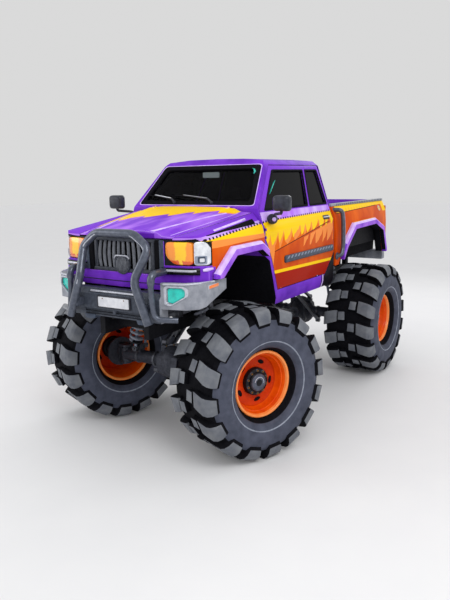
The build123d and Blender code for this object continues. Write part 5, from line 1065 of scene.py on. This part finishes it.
def bumper_trim():
    """A blank plate, fog lamp surrounds, side markers, tow feet and pale lines on the front bumper that are painted
    highlights.
    """
    piece = Piece("plate_frame")
    piece.prism(rounded(-0.235, 1.692, 0.235, 1.826, 0.014), -1.0405, -1.054)
    piece.prism(rounded(-0.214, 1.706, 0.214, 1.812, 0.010), -1.050, -1.0565, "white_plastic")
    for x in (-0.15, 0.15):
        piece.nut((x, -1.056, 1.795), (0, -1, 0), 0.007, 0.004)
    piece.make("front_plate", "bumper_grey", bevel=0.002)

    piece = Piece("pale_trim")
    shares = ((0.0, 0.08), (0.28, 0.0), (1.0, 0.5), (1.0, 0.86), (0.86, 1.0), (0.1, 1.0), (0.0, 0.9))
    spots = [Vector((0.672 + 0.190 * a, 1.800 + 0.162 * b)) for a, b in shares]
    middle = Vector((0.767, 1.881))
    rings = []
    for grow, out in ((1.30, -0.004), (1.28, 0.008), (1.10, 0.010), (1.04, 0.004), (1.02, -0.020)):
        outline = smooth_outline([middle + (spot - middle) * grow for spot in spots], 0.022)
        rings.append([(u, bumper_end(u) - out, v) for u, v in outline])
    piece.rings(rings, capped=False)
    piece.both().make("fog_surrounds", "bumper_grey", smooth=40)

    piece = Piece("amber_lens")
    front, rear = Vector((*BUMPER_END[2], 1.955)), Vector((*BUMPER_END[3], 1.968))
    markers = ((0.10, 0.60, 0.022, 0.006, "pale_trim"), (0.14, 0.58, 0.016, 0.011, "marker_orange"))
    for low, high, tall, out, look in markers:
        ends = (low, front.z, -tall), (high, rear.z, -tall), (high, rear.z, tall), (low, front.z, tall)
        rings = []
        for depth in (-0.004, out):
            ring = []
            for share, z, rise in ends:
                spot = front.lerp(rear, share)
                ring.append((spot.x + depth, spot.y, z + rise))
            rings.append(ring)
        piece.rings(rings, look)
    piece.both().make("side_markers", "amber_lens", bevel=0.004)

    piece = Piece("bumper_dark")
    for x in (0.37, -0.37):
        foot = ((x - 0.065, 1.552), (x + 0.055, 1.552), (x + 0.085, 1.602), (x - 0.085, 1.602))
        piece.prism(smooth_outline(foot, 0.012, 3), -1.030, -0.925, "slate")
    for z in (1.618, 1.648):
        piece.tube(mirrored([(-0.42, -1.0395, z), (-0.2, -1.0405, z)]), 0.0045, "rubber_dark", 8)
    piece.prism(rounded(-0.018, 1.630, 0.018, 1.672, 0.006, 2), -1.047, -1.030)
    piece.make("tow_feet", "bumper_grey", bevel=0.004)

    # painted highlight: pale lines along the bumper's top
    piece = Piece("pale_trim")
    piece.tube([(x, -1.034, 1.868) for x in (-0.33, 0.0, 0.33)], 0.011, sides=10)
    for s in (1, -1):
        line = ((0.64, 2.000), (0.873, 2.004), (0.965, 2.006), (1.020, 2.008))
        piece.tube(turned([(s * x, bumper_end(x) - 0.006, z) for x, z in line], 5, 0.1), 0.011, sides=10)
    piece.make("bumper_highlights", "bumper_grey", smooth=50)


def door_fittings():
    """On each door a rub strip with slanted marks, a handle and a mirror."""
    for name, s in SIDES:
        piece = Piece("strip_grey")
        section = ((0.0, -0.048), (0.022, -0.040), (0.026, 0.0), (0.022, 0.040), (0.0, 0.048))
        rings = []
        for y, grow in ((0.900, 0.55), (0.906, 0.82), (0.922, 1.0), (2.352, 1.0), (2.366, 0.82), (2.371, 0.55)):
            wide = min(1.0, grow + 0.1)
            outline = smooth_outline(section, 0.012, 3)
            rings.append([(s * (STRIP_X + u * wide), y, STRIP_Z + v * grow) for u, v in outline])
        piece.rings(rings)
        for y in (0.940 + index * 0.094 for index in range(15)):
            marks = []
            for start in (y, y + 0.040):
                marks.append([(s * 1.0402, start, STRIP_Z + 0.004), (s * 1.0380, start + 0.040, STRIP_Z + 0.036)])
            piece.strip(*marks, (s * 0.003, 0, 0), "slate_pale")
        piece.on_side(rounded(2.098, 2.450, 2.286, 2.504, 0.012), s, (-0.002, 0.010), "black_plastic")
        bar = [(s * x, y, 2.482) for x, y in ((0.990, 2.106), (1.012, 2.120), (1.012, 2.264), (0.990, 2.278))]
        piece.tube(turned(bar, 5, 0.02), 0.0125, "pale_trim", 12, 0.75)

        hand = Matrix.Diagonal((s, 1, 1))
        centre, foot = hand @ Vector(MIRROR_HEAD), Matrix.Translation(hand @ Vector(MIRROR_FOOT))
        head = rounded(-0.105, -0.088, 0.105, 0.090, 0.045, 6)
        steps = ((-0.052, 0.60), (-0.046, 0.80), (-0.030, 0.94), (0.0, 1.0), (0.040, 1.0), (0.050, 0.96))
        steps += ((0.052, 0.90), (0.046, 0.86))
        rings = [[centre + Vector((u * grow, depth, v * grow)) for u, v in head] for depth, grow in steps]
        piece.rings(rings, "mirror_shell", capped=False)
        for ring, look in ((rings[0], "mirror_shell"), (rings[-1], "chrome")):
            piece.add(ring, [tuple(range(len(head)))], look)
        arm = [centre + Vector((0, 0, -0.080)), centre + Vector((-s * 0.01, 0.01, -0.112))]
        arm += [(s * 1.07, 0.562, 2.612), (s * 1.02, 0.606, 2.562)]
        piece.tube(turned(arm, 6, 0.06), 0.017, "mirror_shell", 14)
        piece.lathe(arc(0.066, 0.062, 15, 180), "mirror_shell", 28, foot)
        # painted highlight: a pale cap on the mirror's ball
        spot = foot @ hand.to_4x4() @ Matrix.Rotation(radians(-38), 4, "Z")
        piece.lathe([(0.054, 0.028), (0.0645, 0.021), (0.0670, 0.0)], "lilac_pale", 20, spot)
        node, body = "door_fittings_" + name, "door_assembly_" + name
        finish = {"bevel": 0.0015, "steps": 1, "sharp": 50, "smooth": 45}
        piece.make(node + "_finish", "black_plastic", (node,), body, **finish)


def fender_vents():
    """A black strip that widens towards the door on each fender, painted shade standing in for a slot, with a pale
    line beside it that is a painted highlight.
    """
    piece = Piece("rubber_dark")
    on_top = drape("front_fenders")
    shares = [step / 16 for step in range(17)]
    rows = [(0.930 - 0.020 * share, -0.650 + 0.960 * share, 0.006 + 0.040 * share**0.7) for share in shares]
    slot = [(x, x + wide, y) for x, y, wide in rows]
    # painted highlight: a pale line beside the slot
    shine = [(x - 0.030, x - 0.012, y) for x, y, _ in rows[3:-2]]
    for look, band in (("rubber_dark", slot), ("lilac_pale", shine)):
        for column in range(3):
            lines = [[on_top(lerp(a, b, edge / 3), y) for a, b, y in band] for edge in (column, column + 1)]
            piece.strip(*lines, (0.0015, 0, 0.0025), look)
    piece.both().make("fender_vents", "black_plastic")


def screen_trim():
    """Wipers, the windscreen's seal with a pale border that is a painted highlight, a turquoise painted reflection
    on the glass, and the inside mirror, whose glass glows as a painted reflection.
    """
    slope = (SCREEN_TOP - SCREEN_FOOT).normalized()
    out = Vector((0, -slope.z, slope.y))

    def on_screen(x, share, lift=0.0):
        return Vector((x, 0, 0)) + SCREEN_FOOT.lerp(SCREEN_TOP, share) + out * lift

    piece = Piece("black_plastic")
    for x, reach in ((0.26, -0.46), (-0.30, -0.34)):
        start, bend = on_screen(x, 0.085, 0.020), on_screen(x + reach * 0.15, 0.15, 0.030)
        tip = on_screen(x + reach, 0.235, 0.020)
        piece.tube(turned((start, bend, tip), 5, 0.08), [0.011] * 7 + [0.008], sides=10)
        blade = [on_screen(x + reach * 1.35, 0.250, 0.012), on_screen(x + reach * 0.25, 0.165, 0.012)]
        piece.tube(blade, 0.009, "rubber_dark", 8)
        piece.tube([bend + out * 0.010, tip + out * 0.010], 0.0035, "chrome", 8)
        spindle = frame_of(on_screen(x, 0.085), on_screen(x, 0.085, 0.05))
        piece.lathe([(0.0, 0.0), (0.0, 0.020), (0.022, 0.017), (0.026, 0.0)], None, 20, spindle)
    piece.make("wipers", "black_plastic", smooth=45)

    piece = Piece("mirror_shell")
    outline = rounded(-0.215, 3.030, 0.060, 3.110, 0.02, 4)
    piece.prism(outline, 0.975, 0.997)
    face = [(-0.078 + (u + 0.078) * 0.93, 3.070 + (v - 3.070) * 0.86) for u, v in outline]
    # the mirror's face glows as a painted reflection
    piece.prism(face, 0.972, 0.980, "mirror_glass")
    piece.tube([(-0.08, 0.985, 3.10), (-0.08, 1.010, 3.18)], 0.010, sides=10)
    piece.make("inside_mirror", "black_plastic", bevel=0.004)

    piece = Piece("rubber_dark")
    seal = ((0.050, -0.004), (0.048, 0.004), (-0.014, 0.004), (-0.016, -0.02))
    # the pale border round the seal is a painted highlight
    border = ((0.062, -0.004), (0.060, 0.003), (0.052, 0.003), (0.050, -0.004))
    for look, steps in (("rubber_dark", seal), ("lilac_pale", border)):
        rings = []
        for grow, lift in steps:
            corners = mirrored([(0.800 + grow, 0.112 - grow / 0.7), (0.672 + grow, 0.888 + grow / 0.7)])
            rings.append([on_screen(u, v, lift) for u, v in smooth_outline(corners, 0.06, 6)])
        piece.rings(rings, look, capped=False)
    piece.make("screen_seal", "black_plastic", smooth=40)

    # painted reflection: turquoise strips on the windscreen
    piece = Piece("glint")
    spots = ((0.612, 0.872, 0.004), (0.636, 0.850, 0.022), (0.660, 0.790, 0.026), (0.668, 0.735, 0.004))
    inner = [on_screen(x, share, 0.006) for x, share, _ in spots]
    outer = [on_screen(x + wide, share, 0.006) for x, share, wide in spots]
    piece.strip(inner, outer, out * 0.0008)
    piece.make("screen_glint", "dark_glass")


def bed_trim():
    """Slanted marks on the bed's rails, liners in the rear arches, the fuel cap and the tailgate's fittings."""
    piece = Piece("slate")
    for y in (2.66 + index * 0.075 for index in range(26)):
        mark = ((y, 2.606), (y + 0.034, 2.606), (y + 0.058, 2.636), (y + 0.024, 2.636))
        piece.prism(mark, 0.9405, 0.9415, axis="x")
    piece.both().make("bed_rail_marks", "rail_grey")

    piece = Piece("rubber_dark")
    arch = [(2.600 + 2.05 * k / 12, 2.05 - 0.03 * abs(k - 6) / 6) for k in range(13)]
    piece.strip([(0.800, y, 1.775) for y, _ in arch], [(0.812, y, z) for y, z in arch], (0.004, 0, 0))
    piece.both().make("rear_arch_liners", "black_plastic")

    piece = Piece("chrome")
    tilt = Matrix.Translation((side(2.490), 4.36, 2.490)) @ Matrix.Rotation(radians(-22), 4, "Y")
    ring = [(0.000, 0.046), (0.006, 0.046), (0.008, 0.042), (0.006, 0.036), (0.002, 0.034)]
    piece.lathe(ring, "pale_trim", 36, tilt)
    piece.lathe([(0.001, 0.034), (0.004, 0.030), (0.006, 0.018), (0.007, 0.0)], "flame_yellow", 36, tilt)
    piece.tube([tilt @ Vector((0.0078, y, 0.0)) for y in (-0.016, 0.016)], 0.003, "stripe_black", 8)
    piece.make("fuel_cap", "tube_grey", smooth=50)

    piece = Piece("plate_frame")
    outer = rounded(-0.235, 2.073, 0.235, 2.207, 0.014)
    piece.prism(outer, 4.6672, 4.676)
    piece.prism([(u * 0.91, 2.140 + (v - 2.140) * 0.80) for u, v in outer], 4.674, 4.679, "white_plastic")
    piece.prism(rounded(-0.11, 2.470, 0.11, 2.530, 0.014), 4.6672, 4.680, "black_plastic")
    handle = mirrored([(-0.085, 4.672, 2.500), (-0.075, 4.692, 2.500)])
    piece.tube(turned(handle, 4, 0.02), 0.009, "pale_trim", 10)
    piece.make("tailgate_fittings", "black_plastic", body="tailgate_panel", bevel=0.002, steps=1)


def steering_wheel():
    """A ring on three spokes, leaning back, with a round boss."""
    lean = Vector((0, cos(radians(32)), sin(radians(32))))
    hub = Matrix.Translation((SEAT_X, 1.075, 2.520)) @ lean.to_track_quat("X", "Z").to_matrix().to_4x4()
    piece = Piece("black_plastic")
    rings = []
    for turn in (2 * pi * k / 48 for k in range(48)):
        section = arc(0.0165, 0.0165, 12)[:-1]
        rings.append([(u, (0.172 + v) * sin(turn), (0.172 + v) * cos(turn)) for u, v in section])
    piece.rings(rings, closed=True, place=hub)
    for turn in (90, -90, 180):
        direction = Vector((0, sin(radians(turn)), cos(radians(turn))))
        spoke = [hub @ (direction * reach) for reach in (0.03, 0.163)]
        piece.tube(spoke, [0.016, 0.011], "mirror_shell", 10, 1.4)
    piece.lathe([(-0.038, 0.046), (0.004, 0.050), (0.014, 0.044), (0.018, 0.0)], None, 32, hub)
    piece.lathe([(-0.038, 0.0), (-0.038, 0.046)], None, 32, hub)
    piece.make("steering_wheel_finish", "black_plastic", ("steering_wheel",), "steering_wheel_ring", smooth=50)


def cushion(name, size, middle, tilt, crown, channels=()):
    """A crowned pad with sides that pull in, and sewn channels across it."""
    wide, deep, thick = size
    place = Matrix.Translation(at(*middle)) @ Matrix.Rotation(radians(tilt), 4, "X")
    count = 22
    points, faces = [], []
    for upper in (True, False):
        base = len(points)
        for i in range(count + 1):
            for j in range(count + 1):
                u, v = i / count * 2 - 1, j / count * 2 - 1
                puff = (1 - abs(u) ** 3.2) ** 0.5 * (1 - abs(v) ** 3.2) ** 0.5
                if upper:
                    seam = min([abs(v - channel) for channel in channels] + [1.0])
                    dent = 0.010 * max(0.0, 1 - seam / 0.07)
                    height = (thick * 0.31 - dent) * puff + crown * (1 - u * u) * (1 - v * v)
                else:
                    height = -thick * 0.275 * puff
                points.append((u * wide / 2 * (1 - 0.045 * v**4), v * deep / 2 * (1 - 0.045 * u**4), height))
        for i in range(count):
            for j in range(count):
                a = base + i * (count + 1) + j
                faces.append((a, a + 1, a + count + 2, a + count + 1))
    mesh = bpy.data.meshes.new(name)
    mesh.from_pydata([place @ Vector(p) for p in points], [], faces)
    mesh.materials.append(MATERIALS["seat_fabric"])
    finish_mesh(mesh, 0, 1, 30, 70, 1e-4)
    made = put(mesh, name, "chassis")
    return made


def seats():
    """Two seats of a moulded base, a cushion, a back and a headrest on two posts."""
    base_outline = smooth_outline(((1.42, 1.642), (1.86, 1.642), (1.92, 1.90), (1.36, 1.92)), 0.03, 3)
    for name, s in SIDES:
        x = s * SEAT_X
        base = Piece("black_plastic")
        base.prism(base_outline, x - 0.22, x + 0.22, axis="x")
        base.make("seat_base_" + name, "seat_fabric", bevel=0.01)
        seat = cushion("seat_cushion_" + name, (0.49, 0.56, 0.20), (x, 1.615, 1.975), -3, 0.012, (-0.45, 0.0, 0.45))
        cushion("seat_back_" + name, (0.48, 0.70, 0.17), (x, 1.975, 2.370), 79, 0.010, (-0.55, -0.1, 0.35))
        cushion("seat_headrest_" + name, (0.25, 0.165, 0.12), (x, 2.050, 2.810), 84, 0.006)
        posts = Piece("chrome")
        for post in (x - 0.06, x + 0.06):
            posts.tube([(post, 2.035, 2.64), (post, 2.048, 2.78)], 0.007, sides=10)
        posts.make("seat_posts_" + name, "tube_grey")
        if s > 0:
            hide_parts("seats")


def glass():
    """The windscreen shows the cab behind it; the rear window is dark. Black seals stand round the side windows,
    and a turquoise strip on each is a painted reflection.
    """
    mesh = frame["nodes"]["cab_glass"].data.copy()
    finish_mesh(mesh, 0.0, 1, 30, 30, 1e-5)
    mesh.materials.clear()
    for look in ("dark_glass", "screen_glass"):
        mesh.materials.append(MATERIALS[look])
    for face in mesh.polygons:
        face.material_index = 1 if face.center.y - SHIFT < 1.2 else 0
    put(mesh, "cab_glass_finish", "chassis", ("cab_glass",))

    window = ((0.568, 2.660), (1.038, 3.110), (1.880, 3.110), (1.735, 2.660))
    quarter = ((1.805, 2.660), (1.950, 3.110), (2.319, 3.110), (2.343, 2.660))
    shine = ((0.835, 2.832), (0.880, 2.860), (1.075, 2.994), (1.000, 2.955))
    for name, s in SIDES:
        piece = Piece("rubber_dark")
        for corners in (window, quarter):
            middle_u, middle_v = (sum(values) / 4 for values in zip(*corners))
            rings = []
            for grow, out in ((0.014, -0.003), (0.013, 0.004), (-0.010, 0.004), (-0.012, -0.012)):
                spread = []
                for u, v in corners:
                    spread.append((u + (grow if u > middle_u else -grow), v + (grow if v > middle_v else -grow)))
                rings.append([(s * (side(v) + out), u, v) for u, v in smooth_outline(spread, 0.03, 5)])
            piece.rings(rings, capped=False)
        # painted reflection: a turquoise strip on the side window
        piece.on_side(shine, s, (-0.022, -0.012), "glint")
        piece.make("window_seals_" + name, "black_plastic", body="door_assembly_" + name, smooth=40)


# Camera, light and floor

def studio():
    """Three soft lamps, a white world that shows as pale grey, and a pale floor."""
    for name, place, size, power, aim in (
        ("key", (6.5, -6.0, 8.5), 5.0, 330, (0, -1, 1.4)),
        ("fill", (-7.5, -6.5, 4.5), 6.0, 170, (0, -1, 1.2)),
        ("back", (0.5, 8.5, 7.0), 5.0, 150, (0, 0, 1.6)),
    ):
        data = bpy.data.lights.new(name, "AREA")
        data.shape, data.size, data.energy = "DISK", size, power
        lamp = link(bpy.data.objects.new(name, data))
        lamp.location = place
        lamp.rotation_euler = (Vector(aim) - Vector(place)).to_track_quat("-Z", "Y").to_euler()

    world = bpy.data.worlds.new("studio")
    world.use_nodes = True
    tree = world.node_tree
    background = tree.nodes["Background"].inputs
    background[0].default_value = (1, 1, 1, 1)
    light_path = tree.nodes.new("ShaderNodeLightPath")
    seen = light_path.outputs["Is Camera Ray"]
    for ray in ("Is Glossy Ray", "Is Transmission Ray"):
        either = tree.nodes.new("ShaderNodeMath")
        either.operation = "MAXIMUM"
        tree.links.new(seen, either.inputs[0])
        tree.links.new(light_path.outputs[ray], either.inputs[1])
        seen = either.outputs[0]
    strength = tree.nodes.new("ShaderNodeMapRange")
    strength.inputs["To Min"].default_value, strength.inputs["To Max"].default_value = 0.92, 0.70
    tree.links.new(seen, strength.inputs["Value"])
    tree.links.new(strength.outputs[0], background[1])
    bpy.context.scene.world = world
    bpy.context.scene.view_settings.view_transform = "Standard"

    mesh = bpy.data.meshes.new("floor")
    mesh.from_pydata([(x, y, 0) for x, y in rectangle(-60, -60, 60, 60)], [], [(0, 1, 2, 3)])
    graph = Graph("floor_paint", {"Roughness": 0.8})
    mesh.materials.append(graph.finish(graph.mix(graph.noise(1.5, 4.0), tint(222, 222, 224), tint(228, 228, 229))))
    link(bpy.data.objects.new("floor", mesh))


def camera():
    """The photograph's view: aim point, distance, azimuth, elevation and roll, found from the wheels and panels."""
    aim, distance = at(0.358, 0.573, 1.540), 7.879
    azimuth, elevation, roll = radians(32.704), radians(11.029), radians(1.065)
    back = Vector((sin(azimuth) * cos(elevation), -cos(azimuth) * cos(elevation), sin(elevation)))
    right = (-back).cross(Vector((0, 0, 1))).normalized()
    up = right.cross(-back)
    data = bpy.data.cameras.new("camera")
    data.lens, data.sensor_width = 37.988, 36
    made = link(bpy.data.objects.new("camera", data))
    columns = cos(roll) * right - sin(roll) * up, sin(roll) * right + cos(roll) * up, back
    made.matrix_world = Matrix.Translation(aim + back * distance) @ Matrix(columns).transposed().to_4x4()
    bpy.context.scene.camera = made


studio()
camera()
for build in (
    panels, hood_lines, tyres, rims, hubs, springs, shocks, axles, tubes, grille, lamps, bumper_trim,
    door_fittings, fender_vents, screen_trim, bed_trim, steering_wheel, seats, glass,
):
    build()
